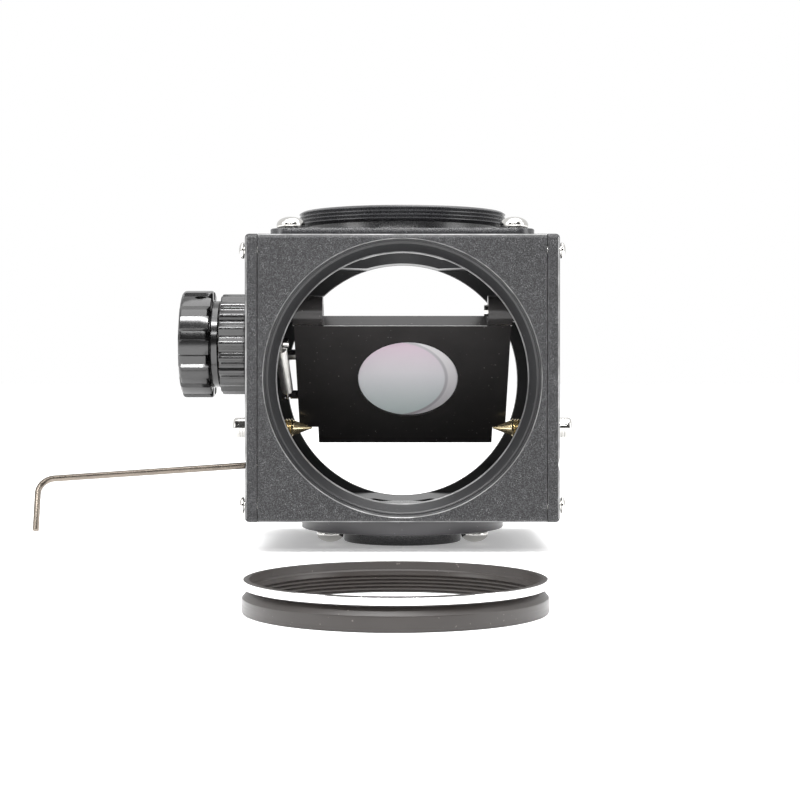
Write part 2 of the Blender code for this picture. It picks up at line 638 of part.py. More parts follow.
def make_stops():
    for side, sign in SIDES:
        at = box_point(0, STOP_Y, STOP_Z)
        turn = TO_X @ (TO_Z if sign < 0 else Matrix.Rotation(pi, 3, "X"))
        profile = [(0, -STOP_TIP_X), (0.15, -STOP_TIP_X), (2.1, -30.3), (STOP_THREAD_RADIUS, -30.6),
                   (STOP_THREAD_RADIUS, -40.6), (1.4, -40.9), (1.4, -45.0), (0, -45.0)]
        screw = turned(f"{side}_stop_screw", profile, brass, sides=20, rotation=turn, at=at)
        head = turned(
            f"{side}_stop_head",
            [(0, -45.3), (1.7, -45.3), (1.7, -42.9), (2.9, -42.9), (2.9, -46.9), (2.5, -47.3), (0, -47.3)],
            bright_steel, sides=24, rotation=turn, at=at,
        )
        nut = plate(f"{side}_lock_nut", [circle(3.5, 6), circle(1.7 + 1.1, 20)], -42.6, -PLATE_OUTER_X - GAP,
                    bright_steel, rotation=turn, at=at)
        shade(screw)
        shade(head)
        shade(nut)


def make_clamps_and_key():
    for side, sign in SIDES:
        turn = TO_X @ (TO_Z if sign < 0 else Matrix.Rotation(pi, 3, "X"))
        screw = rod(f"{side}_clamp_screw", 1.4, -36.6, -28.8, bright_steel, sides=20, rotation=turn,
                    at=box_point(0, CLAMP_Y, CLAMP_Z))
        socket = rod(f"cut_{side}_socket", 1.05, -40, -34.6, sides=16, rotation=turn,
                     at=box_point(0, CLAMP_Y, CLAMP_Z), cutter=True)
        boolean(screw, socket)
        shade(screw)
    out = Vector((-cos(KEY_TILT), 0, -sin(KEY_TILT)))
    down = Vector((sin(KEY_TILT), 0, -cos(KEY_TILT))) * cos(KEY_LEAN) + Vector((0, -1, 0)) * sin(KEY_LEAN)
    start = Vector(box_point(-35.0, CLAMP_Y, CLAMP_Z))
    bend_start = start + out * (KEY_LONG - KEY_BEND)
    centre = bend_start + down * KEY_BEND
    points = [start]
    for step in range(7):
        angle = pi / 2 * step / 6
        points.append(centre - down * KEY_BEND * cos(angle) + out * KEY_BEND * sin(angle))
    points.append(centre + out * KEY_BEND + down * (KEY_SHORT - KEY_BEND))
    wire("hex_key", points, KEY_RADIUS, bright_steel, sides=6)


def make_up_stop():
    profile = [(0, CAVITY_TOP + 2.2), (1.0, CAVITY_TOP + 2.2), (1.0, CAVITY_TOP - GAP),
               (1.9, CAVITY_TOP - GAP), (1.9, 26.4), (1.5, 25.9), (0, 25.9)]
    bumper = turned("up_stop_bumper", profile, rubber, sides=18, at=box_point(BUMPER_X, BUMPER_Y, 0))
    shade(bumper)


def make_port_ring():
    radius, height = RING_RADIUS, RING_HEIGHT
    ring = turned(
        "port_ring",
        [(radius - 1.6, height), (radius - 0.4, height), (radius - 0.2, height - 0.2),
         (radius - 0.2, height - 1.6), (radius - 1.4, height - 1.9), (radius - 0.1, height - 3.5),
         (radius, height - 3.6), (radius, 0.3), (radius - 0.3, 0), (radius - 2.0, 0),
         (radius - 2.0, height - 1.7)],
        satin_black, sides=48, ring=True, at=(RING_X, RING_Y, 0),
    )
    shade(ring)


clear_scene()
parts = new_collection("flip_mirror_box")
cutters = new_collection("cutters")

black_coat = finish("black_coat", (0.035, 0.035, 0.037), 0.0, 0.55)
satin_black = finish("satin_black", (0.03, 0.03, 0.032), 0.3, 0.38)
bright_steel = finish("bright_steel", (0.72, 0.71, 0.69), 1.0, 0.2)
brass = finish("brass", (0.8, 0.58, 0.28), 1.0, 0.25)
mirror_glass = finish("mirror_glass", (0.85, 0.87, 0.88), 1.0, 0.05)
coated_glass = finish("coated_glass", (0.62, 0.6, 0.66), 0.6, 0.12)
rubber = finish("rubber", (0.02, 0.02, 0.02), 0.0, 0.8)

make_body_shell()
make_side_plates()
make_top_port()
make_bottom_port()
make_plate_screws()
make_hinge()
make_mirror_holder()
make_optics()
make_spring()
make_knob()
make_stops()
make_clamps_and_key()
make_up_stop()
make_port_ring()
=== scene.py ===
from math import atan2, cos, hypot, pi, radians, sin
import bmesh
import bpy
from mathutils import Matrix, Vector


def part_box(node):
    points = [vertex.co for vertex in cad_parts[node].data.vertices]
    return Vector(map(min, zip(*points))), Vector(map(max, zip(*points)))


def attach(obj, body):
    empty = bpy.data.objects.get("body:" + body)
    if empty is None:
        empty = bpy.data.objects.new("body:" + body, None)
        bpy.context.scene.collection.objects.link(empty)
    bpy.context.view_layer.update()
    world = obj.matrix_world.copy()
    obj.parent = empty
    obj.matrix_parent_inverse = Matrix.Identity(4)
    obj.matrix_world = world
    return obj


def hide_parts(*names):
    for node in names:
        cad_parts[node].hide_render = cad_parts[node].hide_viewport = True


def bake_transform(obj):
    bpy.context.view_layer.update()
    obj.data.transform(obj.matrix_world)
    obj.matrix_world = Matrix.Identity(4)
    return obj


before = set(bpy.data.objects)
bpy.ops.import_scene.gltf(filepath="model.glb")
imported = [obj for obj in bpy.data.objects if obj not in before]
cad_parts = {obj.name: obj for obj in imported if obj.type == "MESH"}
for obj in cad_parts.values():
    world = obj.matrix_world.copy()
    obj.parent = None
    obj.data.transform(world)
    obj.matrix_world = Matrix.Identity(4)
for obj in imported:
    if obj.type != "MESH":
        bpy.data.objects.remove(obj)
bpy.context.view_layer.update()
mm = 0.001

bodyLow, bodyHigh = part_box("body_shell")
boxMiddle = (bodyLow + bodyHigh) / 2


def dropSelection():
    if bpy.context.object and bpy.context.object.mode != "OBJECT":
        bpy.ops.object.mode_set(mode="OBJECT")
    bpy.ops.object.select_all(action="DESELECT")


def pickOnly(obj):
    dropSelection()
    obj.select_set(True)
    bpy.context.view_layer.objects.active = obj


def pickEdges(obj, test):
    mesh = bmesh.from_edit_mesh(obj.data)
    bpy.ops.mesh.select_all(action="DESELECT")
    bpy.ops.mesh.select_mode(type="EDGE")
    for edge in mesh.edges:
        edge.select_set(bool(test(edge.verts[0].co, edge.verts[1].co)))
    bmesh.update_edit_mesh(obj.data)


def pickVerts(obj, test):
    mesh = bmesh.from_edit_mesh(obj.data)
    bpy.ops.mesh.select_mode(type="VERT")
    bpy.ops.mesh.select_all(action="DESELECT")
    for vert in mesh.verts:
        vert.select_set(bool(test(vert.co)))
    mesh.select_flush(True)
    bmesh.update_edit_mesh(obj.data)


def settle(obj, turn=(0, 0, 0), at=(0, 0, 0)):
    # moves a piece to its place and puts the place into its mesh
    obj.rotation_euler = turn
    obj.location = at
    pickOnly(obj)
    bpy.ops.object.transform_apply(location=True, rotation=True, scale=True)


def settleMatrix(obj, matrix):
    obj.matrix_world = matrix
    pickOnly(obj)
    bpy.ops.object.transform_apply(location=True, rotation=True, scale=True)


def smooth(obj, degreesOfEdge):
    pickOnly(obj)
    bpy.ops.object.shade_smooth_by_angle(angle=radians(degreesOfEdge))


def turnProfile(name, profile, sides=96, merge=0.02):
    # a ring of points pulled along a profile of (radius, height) in mm, about Z
    dropSelection()
    radius, height = profile[0]
    radius = max(radius, 0.01)
    bpy.ops.mesh.primitive_circle_add(vertices=sides, radius=radius * mm, location=(0, 0, 0))
    obj = bpy.context.object
    obj.name = name
    bpy.ops.object.mode_set(mode="EDIT")
    bpy.ops.transform.translate(value=(0, 0, height * mm))
    for nextRadius, nextHeight in profile[1:]:
        nextRadius = max(nextRadius, 0.01)
        rise = (nextHeight - height) * mm
        bpy.ops.mesh.extrude_region_move(TRANSFORM_OT_translate={"value": (0, 0, rise)})
        if nextRadius != radius:
            grow = nextRadius / radius
            bpy.ops.transform.resize(value=(grow, grow, 1), center_override=(0, 0, 0))
        radius, height = nextRadius, nextHeight
    bpy.ops.mesh.select_all(action="SELECT")
    bpy.ops.mesh.remove_doubles(threshold=merge * mm)
    bpy.ops.mesh.normals_make_consistent(inside=False)
    bpy.ops.object.mode_set(mode="OBJECT")
    return obj


def block(name, low, high):
    dropSelection()
    low, high = Vector(low), Vector(high)
    bpy.ops.mesh.primitive_cube_add(size=1, location=(low + high) / 2)
    obj = bpy.context.object
    obj.name = name
    obj.scale = high - low
    bpy.ops.object.transform_apply(location=True, rotation=True, scale=True)
    return obj


def pinShape(name, radius, low, high, turn=(0, 0, 0), at=(0, 0, 0), sides=48):
    obj = turnProfile(name, [(0, low), (radius, low), (radius, high), (0, high)], sides)
    settle(obj, turn, at)
    return obj


def cut(obj, tool, operation="DIFFERENCE"):
    pickOnly(obj)
    modifier = obj.modifiers.new("cut", "BOOLEAN")
    modifier.operation = operation
    modifier.solver = "EXACT"
    modifier.object = tool
    bpy.ops.object.modifier_apply(modifier="cut")
    bpy.data.objects.remove(tool, do_unlink=True)


def breakEdges(obj, width, segments, angle):
    # a small even bevel on every sharp edge
    pickOnly(obj)
    modifier = obj.modifiers.new("edges", "BEVEL")
    modifier.width = width * mm
    modifier.segments = segments
    modifier.limit_method = "ANGLE"
    modifier.angle_limit = radians(angle)
    modifier.use_clamp_overlap = True
    modifier.harden_normals = False
    bpy.ops.object.modifier_apply(modifier="edges")


def copyNode(node, name, width=0.0):
    # a copy of a node's mesh, joined up and with its edges softened
    obj = bpy.data.objects.new(name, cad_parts[node].data.copy())
    bpy.context.scene.collection.objects.link(obj)
    obj.data.materials.clear()
    pickOnly(obj)
    bpy.ops.object.mode_set(mode="EDIT")
    bpy.ops.mesh.select_all(action="SELECT")
    bpy.ops.mesh.remove_doubles(threshold=0.000005)
    bpy.ops.mesh.dissolve_limited(angle_limit=radians(1.0))
    bpy.ops.object.mode_set(mode="OBJECT")
    if width:
        breakEdges(obj, width, 2, 30)
    evenNormals(obj, 50)
    return obj


def evenNormals(obj, degreesOfEdge):
    # keeps large flat faces flat beside their rounded edges
    smooth(obj, degreesOfEdge)
    modifier = obj.modifiers.new("even", "WEIGHTED_NORMAL")
    modifier.keep_sharp = True
    modifier.weight = 80
    bpy.ops.object.modifier_apply(modifier="even")


def repeat(obj, name):
    twin = obj.copy()
    twin.data = obj.data.copy()
    twin.name = name
    bpy.context.scene.collection.objects.link(twin)
    return twin


def middleOf(node):
    low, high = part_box(node)
    return (low + high) / 2


def finishPiece(obj, material, body, slot, *nodes):
    obj.data.materials.clear()
    obj.data.materials.append(material)
    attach(obj, body)
    if nodes:
        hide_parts(*nodes)
    return obj


def newGroup(name, inputs, outputs):
    group = bpy.data.node_groups.new(name, "ShaderNodeTree")
    for label, kind, value in inputs:
        socket = group.interface.new_socket(label, in_out="INPUT", socket_type=kind)
        socket.default_value = value
    for label, kind in outputs:
        group.interface.new_socket(label, in_out="OUTPUT", socket_type=kind)
    start = group.nodes.new("NodeGroupInput")
    end = group.nodes.new("NodeGroupOutput")
    return group, start, end


def addNode(tree, kind, **values):
    node = tree.nodes.new(kind)
    for key, value in values.items():
        setattr(node, key, value)
    return node


def makeSpeckle():
    # fine textured coat: a grain of light specks with a matching height
    group, start, end = newGroup(
        "coatSpeckle",
        [("Size", "NodeSocketFloat", 2600.0), ("Contrast", "NodeSocketFloat", 0.5)],
        [("Grain", "NodeSocketFloat"), ("Sparkle", "NodeSocketFloat"), ("Height", "NodeSocketFloat")],
    )
    place = addNode(group, "ShaderNodeTexCoord")
    grain = addNode(group, "ShaderNodeTexNoise", noise_dimensions="3D")
    grain.inputs["Detail"].default_value = 3.0
    grain.inputs["Roughness"].default_value = 0.6
    cells = addNode(group, "ShaderNodeTexVoronoi", feature="F1")
    ramp = addNode(group, "ShaderNodeValToRGB")
    ramp.color_ramp.elements[0].position = 0.43
    ramp.color_ramp.elements[1].position = 0.64
    spark = addNode(group, "ShaderNodeValToRGB")
    spark.color_ramp.elements[0].position = 0.0
    spark.color_ramp.elements[0].color = (1, 1, 1, 1)
    spark.color_ramp.elements[1].position = 0.30
    spark.color_ramp.elements[1].color = (0, 0, 0, 1)
    gate = addNode(group, "ShaderNodeMath", operation="MULTIPLY")
    patch = addNode(group, "ShaderNodeTexNoise")
    patch.inputs["Scale"].default_value = 700.0
    patchRamp = addNode(group, "ShaderNodeValToRGB")
    patchRamp.color_ramp.elements[0].position = 0.46
    patchRamp.color_ramp.elements[1].position = 0.62
    link = group.links.new
    link(place.outputs["Object"], grain.inputs["Vector"])
    link(place.outputs["Object"], cells.inputs["Vector"])
    link(place.outputs["Object"], patch.inputs["Vector"])
    link(start.outputs["Size"], grain.inputs["Scale"])
    link(start.outputs["Size"], cells.inputs["Scale"])
    link(grain.outputs["Fac"], ramp.inputs["Fac"])
    link(cells.outputs["Distance"], spark.inputs["Fac"])
    link(patch.outputs["Fac"], patchRamp.inputs["Fac"])
    link(spark.outputs["Color"], gate.inputs[0])
    link(patchRamp.outputs["Color"], gate.inputs[1])
    link(ramp.outputs["Color"], end.inputs["Grain"])
    link(gate.outputs["Value"], end.inputs["Sparkle"])
    link(grain.outputs["Fac"], end.inputs["Height"])
    return group


def makeWear():
    # uneven handling marks: a soft broad mask and a fine dust mask
    group, start, end = newGroup(
        "handlingMarks",
        [("Broad Size", "NodeSocketFloat", 60.0), ("Dust Size", "NodeSocketFloat", 900.0)],
        [("Broad", "NodeSocketFloat"), ("Dust", "NodeSocketFloat")],
    )
    place = addNode(group, "ShaderNodeTexCoord")
    broad = addNode(group, "ShaderNodeTexNoise")
    broad.inputs["Detail"].default_value = 4.0
    dust = addNode(group, "ShaderNodeTexNoise")
    dust.inputs["Detail"].default_value = 1.0
    dustRamp = addNode(group, "ShaderNodeValToRGB")
    dustRamp.color_ramp.elements[0].position = 0.74
    dustRamp.color_ramp.elements[1].position = 0.80
    link = group.links.new
    link(place.outputs["Object"], broad.inputs["Vector"])
    link(place.outputs["Object"], dust.inputs["Vector"])
    link(start.outputs["Broad Size"], broad.inputs["Scale"])
    link(start.outputs["Dust Size"], dust.inputs["Scale"])
    link(dust.outputs["Fac"], dustRamp.inputs["Fac"])
    link(broad.outputs["Fac"], end.inputs["Broad"])
    link(dustRamp.outputs["Color"], end.inputs["Dust"])
    return group


def makeTurning():
    # fine cutting lines round an axis, from the distance along it and out from it
    group, start, end = newGroup(
        "turningLines",
        [("Stretch", "NodeSocketVector", (1.0, 1.0, 1.0)), ("Size", "NodeSocketFloat", 3000.0)],
        [("Lines", "NodeSocketFloat")],
    )
    place = addNode(group, "ShaderNodeTexCoord")
    stretch = addNode(group, "ShaderNodeVectorMath", operation="MULTIPLY")
    lines = addNode(group, "ShaderNodeTexNoise")
    lines.inputs["Detail"].default_value = 2.0
    link = group.links.new
    link(place.outputs["Object"], stretch.inputs[0])
    link(start.outputs["Stretch"], stretch.inputs[1])
    link(stretch.outputs["Vector"], lines.inputs["Vector"])
    link(start.outputs["Size"], lines.inputs["Scale"])
    link(lines.outputs["Fac"], end.inputs["Lines"])
    return group


speckleGroup = makeSpeckle()
wearGroup = makeWear()
turningGroup = makeTurning()


def startMaterial(name, metallic=0.0, roughness=0.4, specular=0.5, coat=0.0, coatRoughness=0.1):
    made = bpy.data.materials.new(name)
    made.use_nodes = True
    tree = made.node_tree
    shader = tree.nodes["Principled BSDF"]
    shader.inputs["Metallic"].default_value = metallic
    shader.inputs["Roughness"].default_value = roughness
    shader.inputs["Specular IOR Level"].default_value = specular
    shader.inputs["Coat Weight"].default_value = coat
    shader.inputs["Coat Roughness"].default_value = coatRoughness
    return made, tree, shader


def useGroup(tree, group, **values):
    node = tree.nodes.new("ShaderNodeGroup")
    node.node_tree = group
    for key, value in values.items():
        node.inputs[key.replace("_", " ")].default_value = value
    return node


def mixColour(tree, mask, first, second):
    mix = addNode(tree, "ShaderNodeMix", data_type="RGBA")
    tree.links.new(mask, mix.inputs["Factor"])
    for socket, value in ((mix.inputs["A"], first), (mix.inputs["B"], second)):
        if isinstance(value, tuple):
            socket.default_value = (*value, 1.0)
        else:
            tree.links.new(value, socket)
    return mix.outputs["Result"]


def mapRange(tree, value, low, high, fromLow=0.0, fromHigh=1.0):
    node = addNode(tree, "ShaderNodeMapRange")
    node.inputs["From Min"].default_value = fromLow
    node.inputs["From Max"].default_value = fromHigh
    node.inputs["To Min"].default_value = low
    node.inputs["To Max"].default_value = high
    tree.links.new(value, node.inputs["Value"])
    return node.outputs["Result"]


def addBump(tree, shader, height, strength, distance):
    bump = addNode(tree, "ShaderNodeBump")
    bump.inputs["Strength"].default_value = strength
    bump.inputs["Distance"].default_value = distance
    tree.links.new(height, bump.inputs["Height"])
    tree.links.new(bump.outputs["Normal"], shader.inputs["Normal"])


def speckledBlack(name, dark, light, spark, roughness, size, bump):
    made, tree, shader = startMaterial(name, roughness=roughness, specular=0.5)
    speckle = useGroup(tree, speckleGroup, Size=size)
    wear = useGroup(tree, wearGroup)
    base = mixColour(tree, speckle.outputs["Grain"], dark, light)
    lit = mixColour(tree, speckle.outputs["Sparkle"], base, spark)
    dusty = mixColour(tree, wear.outputs["Dust"], lit, tuple(min(1, c * 1.6) for c in light))
    tree.links.new(dusty, shader.inputs["Base Color"])
    gloss = mapRange(tree, speckle.outputs["Grain"], roughness + 0.08, roughness - 0.08)
    tree.links.new(gloss, shader.inputs["Roughness"])
    addBump(tree, shader, speckle.outputs["Height"], bump, 0.00010)
    return made


def satinBlack(name, colour, roughness, stretch=(1, 1, 1), lines=3000.0, bump=0.15, specular=0.5):
    made, tree, shader = startMaterial(name, roughness=roughness, specular=specular)
    wear = useGroup(tree, wearGroup, Broad_Size=90.0, Dust_Size=1400.0)
    turning = useGroup(tree, turningGroup, Stretch=stretch, Size=lines)
    dark, light = tuple(c * 0.75 for c in colour), tuple(c * 1.3 for c in colour)
    base = mixColour(tree, wear.outputs["Broad"], dark, light)
    dusty = mixColour(tree, wear.outputs["Dust"], base, tuple(min(1, c * 3.5 + 0.02) for c in colour))
    tree.links.new(dusty, shader.inputs["Base Color"])
    gloss = mapRange(tree, turning.outputs["Lines"], roughness * 0.8, roughness * 1.25)
    tree.links.new(gloss, shader.inputs["Roughness"])
    addBump(tree, shader, turning.outputs["Lines"], bump, 0.00003)
    return made


def brightMetal(name, colour, dark, roughness, stretch=(1, 1, 1), lines=3000.0, bump=0.1, metallic=1.0):
    made, tree, shader = startMaterial(name, metallic=metallic, roughness=roughness)
    wear = useGroup(tree, wearGroup, Broad_Size=180.0, Dust_Size=2000.0)
    turning = useGroup(tree, turningGroup, Stretch=stretch, Size=lines)
    base = mixColour(tree, wear.outputs["Broad"], dark, colour)
    tree.links.new(base, shader.inputs["Base Color"])
    gloss = mapRange(tree, turning.outputs["Lines"], roughness * 0.7, roughness * 1.4)
    tree.links.new(gloss, shader.inputs["Roughness"])
    addBump(tree, shader, turning.outputs["Lines"], bump, 0.00002)
    return made


roundY, roundZ, roundX = (0.02, 1, 0.02), (0.02, 0.02, 1), (1, 0.02, 0.02)  # turning lines about each axis
coatBlack = speckledBlack("coatBlack", (0.001, 0.001, 0.0015), (0.040, 0.040, 0.043), (0.36, 0.36, 0.37),
                          0.44, 3300.0, 1.0)
boreBlack = satinBlack("boreBlack", (0.013, 0.013, 0.014), 0.32, stretch=roundY, lines=5200.0, bump=0.2)
insideBlack = satinBlack("insideBlack", (0.014, 0.014, 0.015), 0.38, bump=0.2)
portBlack = satinBlack("portBlack", (0.020, 0.020, 0.022), 0.27, lines=3600.0, bump=0.7, specular=0.8)
flangeBlack = satinBlack("flangeBlack", (0.052, 0.050, 0.054), 0.30, stretch=roundZ, lines=5200.0)
knobBlack = satinBlack("knobBlack", (0.005, 0.0048, 0.005), 0.17, stretch=roundX, lines=5000.0, specular=0.85)
ringBlack = satinBlack("ringBlack", (0.026, 0.022, 0.020), 0.34, stretch=roundZ, lines=5200.0)
holderBlack = satinBlack("holderBlack", (0.034, 0.032, 0.032), 0.17, lines=800.0, bump=0.02, specular=0.32)
screwSteel = brightMetal("screwSteel", (0.66, 0.65, 0.63), (0.50, 0.49, 0.47), 0.14)
springSteel = brightMetal("springSteel", (0.92, 0.90, 0.87), (0.72, 0.70, 0.67), 0.30)
keySteel = brightMetal("keySteel", (0.25, 0.215, 0.18), (0.15, 0.13, 0.11), 0.26,
                       stretch=(0.05, 1, 1), lines=3500.0)
bandChrome = brightMetal("bandChrome", (0.93, 0.93, 0.93), (0.86, 0.86, 0.86), 0.07,
                         stretch=roundZ, lines=6000.0, bump=0.03)
turnedBrass = brightMetal("turnedBrass", (1.0, 0.87, 0.58), (0.95, 0.76, 0.44), 0.20,
                          stretch=roundX, lines=6000.0, metallic=0.9)
dullBrass = brightMetal("dullBrass", (0.62, 0.44, 0.22), (0.45, 0.30, 0.13), 0.30,
                        stretch=roundX, lines=5000.0)
# painted highlight: a pale grey metal broken by dark patches, put on chamfers and bevels as bright edge lines
edgeHighlight = brightMetal("edgeHighlight", (0.55, 0.55, 0.55), (0.02, 0.02, 0.02), 0.42, lines=2500.0, bump=0.6)
# painted highlight: near white, for the bright line along the mirror holder's upper front edge
holderLineHighlight = brightMetal("holderLineHighlight", (0.95, 0.94, 0.93), (0.70, 0.69, 0.68), 0.40, lines=2500.0, metallic=0.2)
bumperRubber = satinBlack("bumperRubber", (0.018, 0.018, 0.018), 0.7, lines=1500.0, bump=0.4)


def makeCoatedGlass():
    # a coating tint from lilac at the top to grey teal below, with painted light in it: darker at the top and
    # lighter at the bottom for the bright background seen through and reflected in the glass, and a painted
    # reflection at one side, a dim arc and a lighter crescent
    made, tree, shader = startMaterial("coatedGlass", roughness=0.10, coat=1.0, coatRoughness=0.02)
    low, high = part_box("guide_mirror")
    middle = (low + high) / 2
    place = addNode(tree, "ShaderNodeTexCoord")
    split = addNode(tree, "ShaderNodeSeparateXYZ")
    tree.links.new(place.outputs["Object"], split.inputs["Vector"])
    fade = mapRange(tree, split.outputs["Z"], 0.0, 1.0, middle.z - 0.0098, middle.z + 0.0098)
    # painted light: the ramp's brightness, darker lilac at the top to near white grey teal at the bottom,
    # stands in for what shows through and in the glass; the hue is the coating's tint
    ramp = addNode(tree, "ShaderNodeValToRGB")
    ramp.color_ramp.elements[0].position = 0.0
    ramp.color_ramp.elements[0].color = (0.90, 1.0, 1.0, 1)
    ramp.color_ramp.elements[1].position = 1.0
    ramp.color_ramp.elements[1].color = (0.70, 0.52, 0.63, 1)
    centre = ramp.color_ramp.elements.new(0.5)
    centre.color = (0.90, 0.88, 0.92, 1)
    tree.links.new(fade, ramp.inputs["Fac"])
    # painted reflection: a dim arc and a lighter crescent round a centre shifted 4 mm along x
    shift = addNode(tree, "ShaderNodeVectorMath", operation="SUBTRACT")
    shift.inputs[1].default_value = (middle.x - 0.0040, middle.y, middle.z)
    tree.links.new(place.outputs["Object"], shift.inputs[0])
    size = addNode(tree, "ShaderNodeVectorMath", operation="LENGTH")
    tree.links.new(shift.outputs["Vector"], size.inputs[0])
    paintedArcMask = mapRange(tree, size.outputs["Value"], 0.0, 1.0, 0.0142, 0.0146)
    paintedCrescentMask = mapRange(tree, size.outputs["Value"], 0.0, 1.0, 0.0150, 0.0154)
    withPaintedArc = mixColour(tree, paintedArcMask, ramp.outputs["Color"], (0.60, 0.58, 0.61))
    colour = mixColour(tree, paintedCrescentMask, withPaintedArc, (0.84, 0.82, 0.84))
    tree.links.new(colour, shader.inputs["Base Color"])
    wear = useGroup(tree, wearGroup, Broad_Size=120.0, Dust_Size=1500.0)
    tree.links.new(mapRange(tree, wear.outputs["Broad"], 0.06, 0.14), shader.inputs["Roughness"])
    return made


def makeMirrorGlass():
    made, tree, shader = startMaterial("mirrorGlass", metallic=1.0, roughness=0.03)
    wear = useGroup(tree, wearGroup, Broad_Size=50.0, Dust_Size=1200.0)
    colour = mixColour(tree, wear.outputs["Broad"], (0.84, 0.87, 0.87), (0.90, 0.92, 0.92))
    tree.links.new(colour, shader.inputs["Base Color"])
    tree.links.new(mapRange(tree, wear.outputs["Dust"], 0.02, 0.25), shader.inputs["Roughness"])
    return made


coatedGlass = makeCoatedGlass()
mirrorGlass = makeMirrorGlass()
print("materials ready")

bodyCast = {
    "round": 1.3, "frontWall": 5.0, "backWall": 4.0, "cavityTop": 30.9, "cavityBottom": 34.0,
    "lipRadius": 32.15, "recessRadius": 34.6, "mouthRadius": 35.6, "backRadius": 33.7, "backDrop": 1.2,
    "topRadius": 24.2, "bottomRadius": 12.3,
}
sideTurn = (0, radians(90), 0)
alongX = Matrix(((0, 0, 1), (1, 0, 0), (0, 1, 0))).to_4x4()  # local +Z along X
frontTurn = (radians(90), 0, 0)  # local +Z faces the front


def makeBody(c):
    low, high = bodyLow / mm, bodyHigh / mm
    body = block("bodyCasting", bodyLow, bodyHigh)
    pickOnly(body)
    bpy.ops.object.mode_set(mode="EDIT")
    pickEdges(body, lambda a, b: abs(a.x - b.x) > 0.01)
    bpy.ops.mesh.bevel(offset=c["round"] * mm, segments=4, affect="EDGES")
    bpy.ops.object.mode_set(mode="OBJECT")
    middle = boxMiddle / mm
    cavity = block("cavity", (-0.040, (low.y + c["frontWall"]) * mm, (middle.z - c["cavityBottom"]) * mm),
                   (0.040, (high.y - c["backWall"]) * mm, (middle.z + c["cavityTop"]) * mm))
    cut(body, cavity)
    face = -low.y
    lip, recess, rim, rear = c["lipRadius"], c["recessRadius"], c["mouthRadius"], c["backRadius"]
    mouth = turnProfile("mouth", [
        (0, face - 8), (lip, face - 8), (lip, face - 3.9), (lip + 0.28, face - 3.6),
        (recess - 0.45, face - 1.25), (recess - 0.1, face - 1.05), (recess + 0.3, face - 1.0),
        (recess + 0.42, face - 0.55), (rim - 0.35, face - 0.5), (rim - 0.25, face - 0.25), (rim, face),
        (rim, face + 1), (0, face + 1)], 160)
    settle(mouth, frontTurn, (0, 0, boxMiddle.z))
    cut(body, mouth)
    back = turnProfile("back", [
        (0, -face - 1), (rear + 1.0, -face - 1), (rear + 0.6, -face + 0.4), (rear, -face + 0.8),
        (rear, -face + 2.4), (rear + 0.45, -face + 2.7), (rear + 0.45, -face + 3.1), (rear, -face + 3.4),
        (rear, face - 5), (0, face - 5)], 160)
    settle(back, frontTurn, (0, 0, boxMiddle.z - c["backDrop"] * mm))
    cut(body, back)
    cut(body, pinShape("topBore", c["topRadius"], 28, 40, at=(0, 0, boxMiddle.z), sides=96))
    cut(body, pinShape("bottomBore", c["bottomRadius"], -40, -32, at=(0, 0, boxMiddle.z), sides=64))
    breakEdges(body, 0.12, 1, 50)
    evenNormals(body, 32)
    finishPiece(body, coatBlack, "housing", "black_coat", "body_shell")
    for material in (boreBlack, insideBlack, edgeHighlight):
        body.data.materials.append(material)
    boreSlot, insideSlot, highlightSlot = 1, 2, 3
    front = bodyLow.y
    for face in body.data.polygons:
        at = face.center
        out = hypot(at.x, at.z - boxMiddle.z) / mm
        turned = 0.2 < abs(face.normal.y) < 0.95
        onMouthEdge = at.y < front + 0.0003 and abs(out - c["mouthRadius"]) < 0.3
        onLipEdge = front + 0.0034 < at.y < front + 0.0042 and out < c["lipRadius"] + 0.3
        onFrontBevel = at.y < front + 0.0009 and 0.7 < abs(face.normal.z) < 0.9 and 0.45 < -face.normal.y
        betweenFaces = front + 0.002 < at.y < bodyHigh.y - 0.0002
        withinWalls = abs(at.x) < 0.0366 and abs(at.z - boxMiddle.z) < 0.0360
        # painted highlight: the mouth and lip chamfers and the middle facets of the top and bottom front
        # bevels
        if (turned and (onMouthEdge or onLipEdge)) or onFrontBevel:
            face.material_index = highlightSlot
        elif at.y < front + 0.006 and out < c["mouthRadius"] + 0.2 and abs(face.normal.y) < 0.98:
            face.material_index = boreSlot
        elif front + 0.0002 < at.y < front + 0.0015 and out < c["mouthRadius"] + 0.1:
            face.material_index = boreSlot
        elif betweenFaces and withinWalls:
            face.material_index = insideSlot
    return body


makeBody(bodyCast)
print("body done")

sidePlate = {"corner": 1.3, "round": 1.0, "hole": 2.3, "knobHole": 5.3, "stopHole": 2.8, "screwHole": 1.4}


